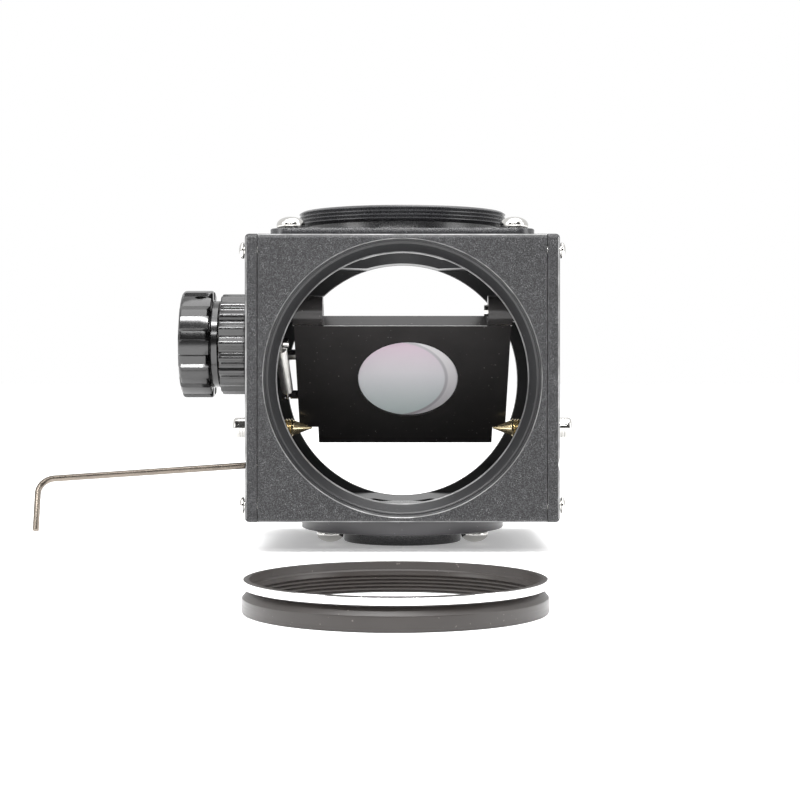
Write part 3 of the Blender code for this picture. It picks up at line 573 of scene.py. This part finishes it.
def makeSidePlate(side, c):
    low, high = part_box(side + "_side_plate")
    plate = block(side + "Plate", low, high)
    sign = -1 if side == "left" else 1
    outer = low.x if sign < 0 else high.x
    pickOnly(plate)
    bpy.ops.object.mode_set(mode="EDIT")
    pickEdges(plate, lambda a, b: abs(a.x - b.x) > 0.001)
    bpy.ops.mesh.bevel(offset=c["corner"] * mm, segments=4, affect="EDGES")
    pickEdges(plate, lambda a, b: abs(a.x - outer) < 1e-5 and abs(b.x - outer) < 1e-5)
    bpy.ops.mesh.bevel(offset=c["round"] * mm, segments=3, affect="EDGES")
    bpy.ops.object.mode_set(mode="OBJECT")
    holes = [(c["stopHole"], middleOf(side + "_stop_screw")), (c["hole"], middleOf(side + "_clamp_screw"))]
    if side == "left":
        holes.append((c["knobHole"], middleOf("shaft_bush")))
    for number in range(1, 5):
        holes.append((c["screwHole"], middleOf(f"{side}_plate_screw_{number}")))
    for radius, at in holes:
        cut(plate, pinShape("hole", radius, -46, 46, turn=sideTurn, at=(0, at.y, at.z), sides=32))
    breakEdges(plate, 0.1, 1, 50)
    evenNormals(plate, 40)
    finishPiece(plate, coatBlack, "housing", "black_coat", side + "_side_plate")
    plate.data.materials.append(edgeHighlight)
    # painted highlight: the rounded edge between the front and the outer face
    for face in plate.data.polygons:
        if face.normal.y < -0.6 and abs(face.normal.x) > 0.6:
            face.material_index = 1


for side in ("left", "right"):
    makeSidePlate(side, sidePlate)
print("side plates done")

screwHole = 1.8
topPort = {
    "bore": 24.2, "threadRadius": 28.2, "threadDepth": 0.5, "pitch": 0.95, "turns": 4, "neck": 26.2,
    "plateRound": 5.0, "plateThick": 1.6,
}


def makeTopPort(c):
    low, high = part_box("top_port_flange")
    shoulder = low.z + c["plateThick"] * mm
    plate = block("topPort", low, (high.x, high.y, shoulder))
    pickOnly(plate)
    bpy.ops.object.mode_set(mode="EDIT")
    pickEdges(plate, lambda a, b: abs(a.z - b.z) > 0.001)
    bpy.ops.mesh.bevel(offset=c["plateRound"] * mm, segments=8, affect="EDGES")
    pickEdges(plate, lambda a, b: abs(a.z - shoulder) < 1e-5 and abs(b.z - shoulder) < 1e-5)
    bpy.ops.mesh.bevel(offset=0.0003, segments=2, affect="EDGES")
    bpy.ops.object.mode_set(mode="OBJECT")
    top = high.z / mm
    base = shoulder / mm
    bore, waist = c["bore"], c["neck"]
    crown, root = c["threadRadius"] - 0.04, c["threadRadius"] - c["threadDepth"]
    profile = [(bore, top - 0.35), (bore + 0.35, top), (root - 0.2, top)]
    for turn in range(c["turns"]):
        crest = top - 0.15 - (turn + 0.4) * c["pitch"]
        profile += [(root, crest + c["pitch"] * 0.42), (crown, crest + 0.09), (crown, crest - 0.09)]
    profile += [(waist + 0.9, base + 2.2), (waist, base + 2.0), (waist, base + 0.3),
                (waist + 0.3, base - 0.5), (bore, base - 0.5), (bore, top - 0.35)]
    neck = turnProfile("neck", profile, 144, merge=0.005)
    cut(plate, pinShape("middleBore", waist - 0.4, low.z / mm - 2, base + 2, sides=144))
    under = low.z / mm + 0.02
    lower = turnProfile("lower", [(bore, base - 0.4), (waist + 0.2, base - 0.4), (waist + 0.2, under),
                                  (bore, under), (bore, base - 0.4)], 144, merge=0.005)
    cut(neck, lower, "UNION")
    cut(plate, neck, "UNION")
    for number in range(1, 5):
        at = middleOf(f"top_screw_{number}")
        cut(plate, pinShape("hole", screwHole, 40, 100, at=(at.x, at.y, 0), sides=32))
    smooth(plate, 28)
    return finishPiece(plate, portBlack, "housing", "satin_black", "top_port_flange")


makeTopPort(topPort)
print("top port done")


bottomPort = {"bore": 12.3, "footNeck": 12.0, "cupRadius": 9.0, "cupDepth": 0.5}


def makeBottom(c):
    low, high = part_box("bottom_flange")
    outer, top, base = high.x / mm, high.z / mm, low.z / mm
    bore, neck, cup = c["bore"], c["footNeck"], c["cupRadius"]
    profile = [(bore, top), (outer - 0.25, top), (outer, top - 0.25), (outer, base + 0.35),
               (outer - 0.1, base + 0.12), (outer - 0.35, base), (bore, base), (bore, top)]
    flange = turnProfile("bottomFlange", profile, 128, merge=0.005)
    for number in range(1, 4):
        at = middleOf(f"bottom_screw_{number}")
        cut(flange, pinShape("hole", screwHole, 0, 12, at=(at.x, at.y, 0), sides=32))
    smooth(flange, 28)
    finishPiece(flange, flangeBlack, "housing", "satin_black", "bottom_flange")
    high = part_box("bottom_cap")[1]
    outer, shoulder, top = high.x / mm, base - 0.3, high.z / mm
    profile = [(0, top), (neck - 0.4, top), (neck, top - 0.4), (neck, shoulder), (outer - 0.3, shoulder),
               (outer, shoulder - 0.3), (outer, 0.45), (outer - 0.13, 0.13), (outer - 0.45, 0), (cup, 0),
               (cup - 0.3, c["cupDepth"]), (0, c["cupDepth"])]
    foot = turnProfile("footCap", profile, 96, merge=0.05)
    smooth(foot, 28)
    finishPiece(foot, portBlack, "housing", "satin_black", "bottom_cap")


makeBottom(bottomPort)
print("bottom done")


def domedScrew(name, headRadius, headHeight, shankRadius, shankLength, socket, sides=48):
    profile = [(0, headHeight)]
    for step in range(1, 9):
        angle = radians(90 - step * 10.5)
        profile.append((headRadius * cos(angle), headHeight * (0.26 + 0.74 * sin(angle))))
    profile += [(headRadius, headHeight * 0.24), (headRadius - 0.05, 0.05), (headRadius - 0.15, 0),
                (shankRadius, 0), (shankRadius, -shankLength + 0.3), (shankRadius - 0.3, -shankLength),
                (0, -shankLength)]
    screw = turnProfile(name, profile, sides, merge=0.015)
    floor, top = headHeight * 0.35, headHeight + 1
    cut(screw, turnProfile("socket", [(0, floor), (socket, floor), (socket, top), (0, top)], 6))
    breakEdges(screw, 0.05, 1, 40)
    return screw


domeScrew = {"headRadius": 3.7, "headHeight": 2.9, "shankRadius": 1.5, "shankLength": 6.0, "socket": 1.25}
plateScrew = {
    "headRadius": 2.1, "headHeight": 1.3, "shankRadius": 1.1, "shankLength": 7.0, "socket": 0.85, "sides": 32,
}
bottomScrewRadius = 3.6
topMaster = domedScrew("domeMaster", **domeScrew)
for number in range(1, 5):
    at = middleOf(f"top_screw_{number}")
    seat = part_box(f"top_screw_{number}")[1].z - domeScrew["headHeight"] * mm
    screw = repeat(topMaster, f"topScrew{number}")
    settle(screw, (0, 0, radians(17 * number)), (at.x, at.y, seat))
    smooth(screw, 35)
    finishPiece(screw, screwSteel, "housing", "bright_steel", f"top_screw_{number}")
for number in range(1, 4):
    at = middleOf(f"bottom_screw_{number}")
    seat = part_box("bottom_flange")[0].z - 0.0003
    screw = repeat(topMaster, f"bottomScrew{number}")
    narrow = bottomScrewRadius / domeScrew["headRadius"]
    screw.scale = (narrow, narrow, 1.0)
    pickOnly(screw)
    bpy.ops.object.transform_apply(location=False, rotation=False, scale=True)
    settle(screw, (pi, 0, radians(23 * number)), (at.x, at.y, seat))
    smooth(screw, 35)
    finishPiece(screw, screwSteel, "housing", "bright_steel", f"bottom_screw_{number}")
bpy.data.objects.remove(topMaster, do_unlink=True)

plateMaster = domedScrew("plateMaster", **plateScrew)
for side, sign in (("left", -1), ("right", 1)):
    for number in range(1, 5):
        low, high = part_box(f"{side}_plate_screw_{number}")
        at = (low + high) / 2
        screw = repeat(plateMaster, f"{side}PlateScrew{number}")
        head = plateScrew["headHeight"] * mm
        seat = (low.x + head) if sign < 0 else (high.x - head)
        settle(screw, (0, sign * radians(90), 0), (seat, at.y, at.z))
        smooth(screw, 35)
        finishPiece(screw, screwSteel, "housing", "bright_steel", f"{side}_plate_screw_{number}")
bpy.data.objects.remove(plateMaster, do_unlink=True)
print("screws done")

knob = {
    "radius": 14.5, "lowRadius": 13.8, "lobes": 13, "neck": 11.75, "faceDepth": 0.7, "wheelEnd": -50.9,
    "shaftRadius": 3.3, "shaftEnd": -57.2,
}
collar = {"radius": 13.55, "depth": 1.0, "flutes": 20, "bore": 7.3}


def makeKnob(c):
    low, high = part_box("knob_wheel")
    at = middleOf("knob_shaft")
    outer, inner = low.x / mm, high.x / mm
    radius, neck, wheelEnd = c["radius"], c["neck"], c["wheelEnd"]
    face = outer + c["faceDepth"]
    columns = 12
    sides = c["lobes"] * columns
    profile = [(0, face), (9.6, face), (10.2, outer + 0.15), (10.5, outer), (radius - 1.1, outer),
               (radius - 0.45, outer + 0.2), (radius - 0.1, outer + 0.6), (radius, outer + 1.1),
               (radius, outer + 3.4), (radius, outer + 5.6), (radius, wheelEnd - 0.5),
               (radius - 0.15, wheelEnd - 0.15), (radius - 0.5, wheelEnd), (neck + 0.2, wheelEnd),
               (neck, wheelEnd + 0.2), (neck, inner - 0.2), (neck - 0.2, inner), (c["shaftRadius"], inner),
               (c["shaftRadius"], c["shaftEnd"]), (0, c["shaftEnd"])]
    wheel = turnProfile("knobWheel", profile, sides, merge=0.02)
    pickOnly(wheel)
    bpy.ops.object.mode_set(mode="EDIT")
    step = 2 * pi / sides

    def inNotchColumn(co):
        column = int((atan2(co.y, co.x) % (2 * pi)) / step + 0.5) % columns
        return column in (0, 1, 2, 3, 4) and hypot(co.x, co.y) > (neck + 0.5) * mm

    def inNotch(co):
        return hypot(co.x, co.y) > (radius - 0.6) * mm and inNotchColumn(co)

    pickVerts(wheel, inNotch)
    squeeze = c["lowRadius"] / radius
    bpy.ops.transform.resize(value=(squeeze, squeeze, 1), center_override=(0, 0, 0))
    pickVerts(wheel, lambda co: (wheelEnd - 0.6) * mm < co.z < (wheelEnd + 0.05) * mm and inNotchColumn(co))
    bpy.ops.transform.translate(value=(0, 0, -0.0008))
    bpy.ops.object.mode_set(mode="OBJECT")
    settleMatrix(wheel, Matrix.Translation((0, at.y, at.z)) @ alongX)
    grubAt = middleOf("knob_set_screw")
    lean = atan2(grubAt.z - at.z, grubAt.y - at.y)
    hole = turnProfile("grubHole", [(0, 8), (1.6, 8), (1.6, 20), (0, 20)], 32)
    settleMatrix(hole, Matrix.Translation((grubAt.x, at.y, at.z)) @ Matrix.Rotation(lean - pi / 2, 4, "X"))
    cut(wheel, hole)
    smooth(wheel, 24)
    return finishPiece(wheel, knobBlack, "knob", "satin_black", "knob_wheel")


def makeCollar(c):
    low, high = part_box("knob_collar")
    at = middleOf("knob_shaft")
    outer, inner = low.x / mm, high.x / mm
    columns = 10
    sides = c["flutes"] * columns
    radius, bore = c["radius"], c["bore"]
    profile = [(bore, outer + 0.3), (bore + 0.3, outer), (radius - 0.5, outer), (radius - 0.15, outer + 0.12),
               (radius, outer + 0.45), (radius, outer + 2.5), (radius, inner - 2.5), (radius, inner - 0.45),
               (radius - 0.15, inner - 0.12), (radius - 0.5, inner), (bore, inner), (bore, outer + 0.3)]
    made = turnProfile("flutedCollar", profile, sides, merge=0.005)
    pickOnly(made)
    step = 2 * pi / sides
    bpy.ops.object.mode_set(mode="EDIT")
    for column in range(columns):
        share = abs(column / columns - 0.5) * 2  # 1 at a crest, 0 in the middle of a flute
        depth = c["depth"] * (0.5 + 0.5 * cos(pi * share))
        if depth < 0.01:
            continue
        pickVerts(made, lambda co: hypot(co.x, co.y) > (radius - 1.1) * mm
                  and int((atan2(co.y, co.x) % (2 * pi)) / step + 0.5) % columns == column)
        squeeze = 1 - depth / radius
        bpy.ops.transform.resize(value=(squeeze, squeeze, 1), center_override=(0, 0, 0))
    bpy.ops.object.mode_set(mode="OBJECT")
    settleMatrix(made, Matrix.Translation((0, at.y, at.z)) @ alongX)
    smooth(made, 40)
    return finishPiece(made, knobBlack, "collar", "satin_black", "knob_collar")


makeKnob(knob)
makeCollar(collar)
print("knob done")

stopScrew = {"thread": 2.5, "depth": 0.35, "pitch": 0.8, "threadEnd": -40.2, "grooves": 3, "grooveStep": 0.8}


def makeStop(side, c):
    sign = -1 if side == "left" else 1
    low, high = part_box(side + "_stop_screw")
    tip = high.x / mm if sign < 0 else -low.x / mm
    at = (low + high) / 2
    inward = (0, -sign * radians(90), 0)
    crest, root, pitch, end = c["thread"], c["thread"] - c["depth"], c["pitch"], c["threadEnd"]
    profile = [(0, tip), (0.18, tip - 0.05), (0.75, tip - 1.5), (1.45, tip - 3.3), (2.0, tip - 4.75),
               (2.12, tip - 5.0)]
    height = tip - 5.3
    while height > end:
        profile += [(root, height), (crest, height - pitch * 0.42), (crest, height - pitch * 0.58)]
        height -= pitch
    profile += [(root, end - 0.2), (1.4, end - 0.7), (1.4, end - 4.8), (0, end - 4.8)]
    screw = turnProfile(side + "StopScrew", profile, 40, merge=0.02)
    settle(screw, inward, (0, at.y, at.z))
    smooth(screw, 30)
    finishPiece(screw, turnedBrass, side + "_stop", "brass", side + "_stop_screw")
    head = turnProfile(side + "StopHead", [
        (0, -45.3), (1.7, -45.3), (1.7, -42.9), (2.7, -42.9), (2.9, -43.1), (2.9, -46.6), (2.75, -46.95),
        (2.4, -47.3), (0, -47.3)], 48, merge=0.02)
    cut(head, turnProfile("socket", [(0, -46.2), (1.25, -46.2), (1.25, -49), (0, -49)], 6))
    for groove in range(c["grooves"]):
        middle = -43.75 - groove * c["grooveStep"]
        notch = [(2.78, middle), (3.4, middle + 0.25), (3.4, middle - 0.25), (2.78, middle)]
        cut(head, turnProfile("groove", notch, 48, merge=0.005))
    settle(head, inward, (0, at.y, at.z))
    smooth(head, 30)
    finishPiece(head, screwSteel, side + "_stop", "bright_steel", side + "_stop_head")
    nut = copyNode(side + "_lock_nut", side + "LockNut", 0.15)
    finishPiece(nut, screwSteel, side + "_stop", "bright_steel", side + "_lock_nut")


for side in ("left", "right"):
    makeStop(side, stopScrew)
print("stops done")

hexKey = {
    "startX": -35.0, "radius": 0.87, "bend": 4.0, "long": 58.0, "short": 14.5, "tilt": 3.9, "lean": 32.0,
}


def makeKey(c):
    clamp = middleOf("left_clamp_screw")
    start = Vector((c["startX"] * mm, clamp.y, clamp.z))
    tilt, lean = radians(c["tilt"]), radians(c["lean"])
    out = Vector((-cos(tilt), 0, -sin(tilt)))
    down = Vector((sin(tilt), 0, -cos(tilt))) * cos(lean) + Vector((0, -1, 0)) * sin(lean)
    across = out.cross(down)
    dropSelection()
    bpy.ops.mesh.primitive_circle_add(vertices=6, radius=c["radius"] * mm, fill_type="NGON")
    key = bpy.context.object
    key.name = "hexKey"
    frameMatrix = Matrix((across, down, out)).transposed().to_4x4()
    frameMatrix = frameMatrix @ Matrix.Rotation(radians(30), 4, "Z")
    key.matrix_world = Matrix.Translation(start) @ frameMatrix
    bpy.ops.object.transform_apply(location=True, rotation=True, scale=True)
    bpy.ops.object.mode_set(mode="EDIT")
    bpy.ops.mesh.select_all(action="SELECT")
    straight = (c["long"] - c["bend"]) * mm
    bpy.ops.mesh.extrude_region_move(TRANSFORM_OT_translate={"value": tuple(out * straight)})
    centre = start + out * straight + down * c["bend"] * mm
    bpy.ops.mesh.spin(steps=14, angle=radians(90), center=centre, axis=-across)
    tail = (c["short"] - c["bend"]) * mm
    bpy.ops.mesh.extrude_region_move(TRANSFORM_OT_translate={"value": tuple(down * tail)})
    bpy.ops.mesh.select_all(action="SELECT")
    bpy.ops.mesh.remove_doubles(threshold=0.000002)
    bpy.ops.mesh.normals_make_consistent(inside=False)
    bpy.ops.object.mode_set(mode="OBJECT")
    breakEdges(key, 0.12, 2, 25)
    smooth(key, 25)
    return finishPiece(key, keySteel, "key", "bright_steel", "hex_key")


makeKey(hexKey)
print("key done")

portRing = {"radius": 30.0, "height": 6.5, "pitch": 0.75, "threadDepth": 0.4}


def makeRing(c):
    middle = middleOf("port_ring")
    r, h = c["radius"], c["height"]
    profile = [(r - 1.5, h - 0.1), (r - 1.4, h), (r - 0.45, h), (r - 0.25, h - 0.08), (r - 0.2, h - 0.22),
               (r - 0.2, h - 1.55), (r - 0.28, h - 1.62), (r - 0.6, h - 1.68), (r - 1.38, h - 1.88),
               (r - 1.4, h - 1.96), (r - 0.16, h - 3.44), (r - 0.05, h - 3.52), (r, h - 3.68), (r, 0.35),
               (r - 0.1, 0.1), (r - 0.35, 0), (r - 1.5, 0), (r - 1.75, 0.2)]
    root, pitch = r - 1.6, c["pitch"]
    crest = root - c["threadDepth"]
    height = 0.4
    while height < h - 3.0:
        profile += [(root, height), (crest, height + pitch * 0.42), (crest, height + pitch * 0.58)]
        height += pitch
    profile += [(r - 1.85, h - 2.2), (r - 1.85, h - 1.9), (r - 1.5, h - 1.6), (r - 1.5, h - 0.1)]
    ring = turnProfile("portRing", profile, 160, merge=0.004)
    settle(ring, at=(middle.x, middle.y, 0))
    evenNormals(ring, 28)
    finishPiece(ring, ringBlack, "loose_ring", "satin_black", "port_ring")
    ring.data.materials.append(bandChrome)
    for face in ring.data.polygons:
        out = hypot(face.center.x - middle.x, face.center.y - middle.y) / mm
        if out > r - 0.4 and (h - 1.66) * mm < face.center.z < (h - 0.06) * mm:
            face.material_index = 1
    return ring


makeRing(portRing)
print("ring done")

coilSpring = {"coil": 1.45, "wire": 0.23, "pitch": 2.5, "loop": 1.15, "reach": 3.4, "bridge": 3.3}


def makeSpring(c):
    post, arm = middleOf("spring_post"), middleOf("spring_arm")
    x = middleOf("tension_spring").x
    front = Vector((x, post.y, post.z))
    back = Vector((x, arm.y, arm.z))
    along = (back - front).normalized()
    start, end = front + along * c["reach"] * mm, back - along * c["reach"] * mm
    length = (end - start).length
    turns = int(length / (c["wire"] * c["pitch"] * mm))
    dropSelection()
    bpy.ops.mesh.primitive_circle_add(vertices=8, radius=c["wire"] * mm, location=(c["coil"] * mm, 0, 0),
                                      rotation=(radians(90), 0, 0))
    coil = bpy.context.object
    coil.name = "returnSpring"
    bpy.ops.object.transform_apply(location=True, rotation=True, scale=True)
    screw = coil.modifiers.new("wind", "SCREW")
    screw.axis = "Z"
    screw.steps = 18
    screw.render_steps = 18
    screw.iterations = turns
    screw.screw_offset = length / turns
    screw.use_merge_vertices = False
    bpy.ops.object.modifier_apply(modifier="wind")
    bpy.ops.object.mode_set(mode="EDIT")
    bpy.ops.mesh.select_all(action="SELECT")
    bpy.ops.mesh.remove_doubles(threshold=0.000001)
    bpy.ops.mesh.select_all(action="DESELECT")
    bpy.ops.mesh.select_mode(type="EDGE")
    bpy.ops.mesh.select_non_manifold()
    bpy.ops.mesh.fill_holes(sides=8)
    bpy.ops.mesh.select_all(action="SELECT")
    bpy.ops.mesh.normals_make_consistent(inside=False)
    bpy.ops.object.mode_set(mode="OBJECT")
    side = Vector((1, 0, 0))
    turn = Matrix((side, along.cross(side), along)).transposed().to_4x4()
    settleMatrix(coil, Matrix.Translation(start) @ turn)
    pieces = [coil]
    for point, toward in ((front, along), (back, -along)):
        dropSelection()
        bpy.ops.mesh.primitive_torus_add(major_radius=c["loop"] * mm, minor_radius=c["wire"] * mm,
                                         major_segments=36, minor_segments=8)
        loop = bpy.context.object
        loopTurn = Matrix((toward, toward.cross(side), side)).transposed().to_4x4()
        settleMatrix(loop, Matrix.Translation(point) @ loopTurn)
        reach = (c["reach"] - c["loop"]) * mm
        middle = point + toward * (c["loop"] * mm + reach / 2)
        dropSelection()
        bpy.ops.mesh.primitive_cylinder_add(vertices=8, radius=c["wire"] * mm, depth=reach + 0.0004)
        stem = bpy.context.object
        stemTurn = Matrix((side, toward.cross(side), toward)).transposed().to_4x4()
        settleMatrix(stem, Matrix.Translation(middle) @ stemTurn)
        dropSelection()
        bpy.ops.mesh.primitive_cylinder_add(vertices=8, radius=c["wire"] * mm, depth=c["coil"] * mm)
        bridge = bpy.context.object
        bridgeTurn = Matrix((toward, toward.cross(side) * -1, side)).transposed().to_4x4()
        across = side * c["coil"] * mm / 2
        settleMatrix(bridge, Matrix.Translation(point + toward * c["bridge"] * mm + across) @ bridgeTurn)
        pieces += [loop, stem, bridge]
    dropSelection()
    for piece in pieces:
        piece.select_set(True)
    bpy.context.view_layer.objects.active = coil
    bpy.ops.object.join()
    coil = bpy.context.object
    coil.name = "returnSpring"
    smooth(coil, 60)
    coil.data.materials.clear()
    coil.data.materials.append(springSteel)
    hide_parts("tension_spring")
    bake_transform(coil)
    return coil


makeSpring(coilSpring)
print("spring done")

mirrorHolder = {"hingeY": -17.0, "hingeZ": 17.7, "topU": 5.1, "faceN": -0.5, "edge": 0.5, "halfWidth": 23.5}
guideGlass = {
    "x": 1.5, "u": 25.7, "halfX": 13.7, "halfU": 14.3, "seat": 16.2, "sink": 0.35, "lip": 1.6, "back": 3.0,
}
downSlope = Vector((0, 1, -1)).normalized()
offSlope = Vector((0, 1, 1)).normalized()


def onSlope(x, u, n):
    hinge = Vector((x, mirrorHolder["hingeY"], mirrorHolder["hingeZ"])) * mm + Vector((0, 0, boxMiddle.z))
    return hinge + downSlope * u * mm + offSlope * n * mm


def makeHolder(c):
    holder = copyNode("mirror_holder", "mirrorHolder")
    corner = onSlope(0, c["topU"], c["faceN"])

    def onCorner(co, reach):
        return hypot(co.y - corner.y, co.z - corner.z) < reach * mm

    pickOnly(holder)
    bpy.ops.object.mode_set(mode="EDIT")
    pickEdges(holder, lambda a, b: onCorner(a, 0.1) and onCorner(b, 0.1) and abs(a.x - b.x) > 0.003)
    bpy.ops.mesh.bevel(offset=c["edge"] * mm, segments=2, affect="EDGES")
    bpy.ops.object.mode_set(mode="OBJECT")
    breakEdges(holder, 0.2, 2, 50)
    evenNormals(holder, 50)
    finishPiece(holder, holderBlack, "mirror", "satin_black", "mirror_holder")
    holder.data.materials.append(holderLineHighlight)
    # painted highlight: front-facing faces along the holder's rounded upper corner
    for face in holder.data.polygons:
        if face.normal.y < -0.8 and abs(face.center.x) < c["halfWidth"] * mm and onCorner(face.center, 0.8):
            face.material_index = 1


def makeGuideGlass(c):
    front = mirrorHolder["faceN"] + c["sink"]
    back = mirrorHolder["faceN"] + c["back"]
    seat = mirrorHolder["faceN"] + c["lip"]
    wide = c["halfX"]
    glass = turnProfile("guideGlass", [(0, back), (c["seat"], back), (c["seat"], seat), (wide, seat),
                                       (wide, front + 0.15), (wide - 0.15, front), (0, front)], 96)
    stretch = Matrix.Diagonal((1, c["halfU"] / wide, 1, 1))
    turn = Matrix((Vector((-1, 0, 0)), downSlope, offSlope)).transposed().to_4x4()
    settleMatrix(glass, Matrix.Translation(onSlope(c["x"], c["u"], 0)) @ turn @ stretch)
    smooth(glass, 30)
    finishPiece(glass, coatedGlass, "mirror", "coated_glass", "guide_mirror")


makeHolder(mirrorHolder)
makeGuideGlass(guideGlass)
mirror = copyNode("main_mirror", "mainMirror", 0.2)
finishPiece(mirror, mirrorGlass, "mirror", "mirror_glass", "main_mirror")

kept = {
    "mirror_clip_1": holderBlack, "mirror_clip_2": holderBlack, "clip_screw_1": screwSteel,
    "clip_screw_2": screwSteel, "spring_arm": holderBlack, "spring_post": screwSteel, "crank_arm": screwSteel,
    "crank_pin": screwSteel, "knob_shaft": screwSteel, "knob_set_screw": screwSteel, "shaft_bush": dullBrass,
    "left_hinge_pin": screwSteel, "right_hinge_pin": screwSteel, "left_hinge_sleeve": holderBlack,
    "right_hinge_sleeve": holderBlack, "left_clamp_screw": screwSteel, "right_clamp_screw": screwSteel,
    "up_stop_bumper": bumperRubber,
}
for node, material in kept.items():
    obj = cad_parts[node]
    for slot in obj.material_slots:
        slot.material = material
    if not obj.material_slots:
        obj.data.materials.append(material)
print("holder done")

stage = {
    "floor": 8.0, "floorGlow": 0.28, "floorColour": (0.93, 0.93, 0.93), "worldStrength": 1.0, "dimSide": 0.07,
}


def makeStage(c):
    dropSelection()
    bpy.ops.mesh.primitive_plane_add(size=c["floor"])
    floor = bpy.context.object
    floor.name = "floor"
    made, tree, shader = startMaterial("paleFloor", roughness=0.75, specular=0.2)
    shader.inputs["Emission Color"].default_value = (1, 1, 1, 1)
    shader.inputs["Emission Strength"].default_value = c["floorGlow"]
    wear = useGroup(tree, wearGroup, Broad_Size=6.0, Dust_Size=300.0)
    colour = mixColour(tree, wear.outputs["Broad"], (0.92, 0.92, 0.92), c["floorColour"])
    tree.links.new(colour, shader.inputs["Base Color"])
    floor.data.materials.append(made)
    world = bpy.data.worlds.new("softRoom")
    bpy.context.scene.world = world
    world.use_nodes = True
    tree = world.node_tree
    back = tree.nodes["Background"]
    back.inputs["Strength"].default_value = c["worldStrength"]
    place = addNode(tree, "ShaderNodeTexCoord")
    split = addNode(tree, "ShaderNodeSeparateXYZ")
    tree.links.new(place.outputs["Generated"], split.inputs["Vector"])
    tree.links.new(mapRange(tree, split.outputs["Y"], c["dimSide"], 1.0, -0.75, -0.15), back.inputs["Color"])


def softLight(name, at, size, power):
    lamp = bpy.data.lights.new(name, "AREA")
    lamp.shape = "RECTANGLE"
    lamp.size, lamp.size_y = size
    lamp.energy = power
    obj = bpy.data.objects.new(name, lamp)
    bpy.context.scene.collection.objects.link(obj)
    obj.location = at
    obj.rotation_euler = (lightAim - Vector(at)).to_track_quat("-Z", "Y").to_euler()


makeStage(stage)
lightAim = Vector((0, 0, 0.04))
softLight("topPanel", (0.05, -0.05, 0.75), (0.9, 0.7), 5.2)
softLight("leftPanel", (-0.75, -0.45, 0.45), (0.4, 0.7), 3.0)
softLight("frontStrip", (-0.15, -0.78, 1.16), (1.3, 0.13), 20.0)
softLight("lineStrip", (-0.10, -1.15, 0.68), (0.9, 0.08), 4.0)
softLight("rightPanel", (0.80, -0.35, 0.35), (0.4, 0.7), 2.5)

view = {"lens": 81.0, "sensor": 36.0, "at": (0.0, -0.49375, 0.04805), "shiftX": -0.003, "shiftY": -0.04375}
camera = bpy.data.cameras.new("mainView")
camera.lens = view["lens"]
camera.sensor_width = view["sensor"]
camera.shift_x = view["shiftX"]
camera.shift_y = view["shiftY"]
camera.clip_start = 0.01
camera.clip_end = 20.0
cameraObject = bpy.data.objects.new("mainView", camera)
bpy.context.scene.collection.objects.link(cameraObject)
cameraObject.location = view["at"]
cameraObject.rotation_euler = (radians(90), 0, 0)
bpy.context.scene.camera = cameraObject
bpy.context.scene.view_settings.view_transform = "Standard"
print("stage done")
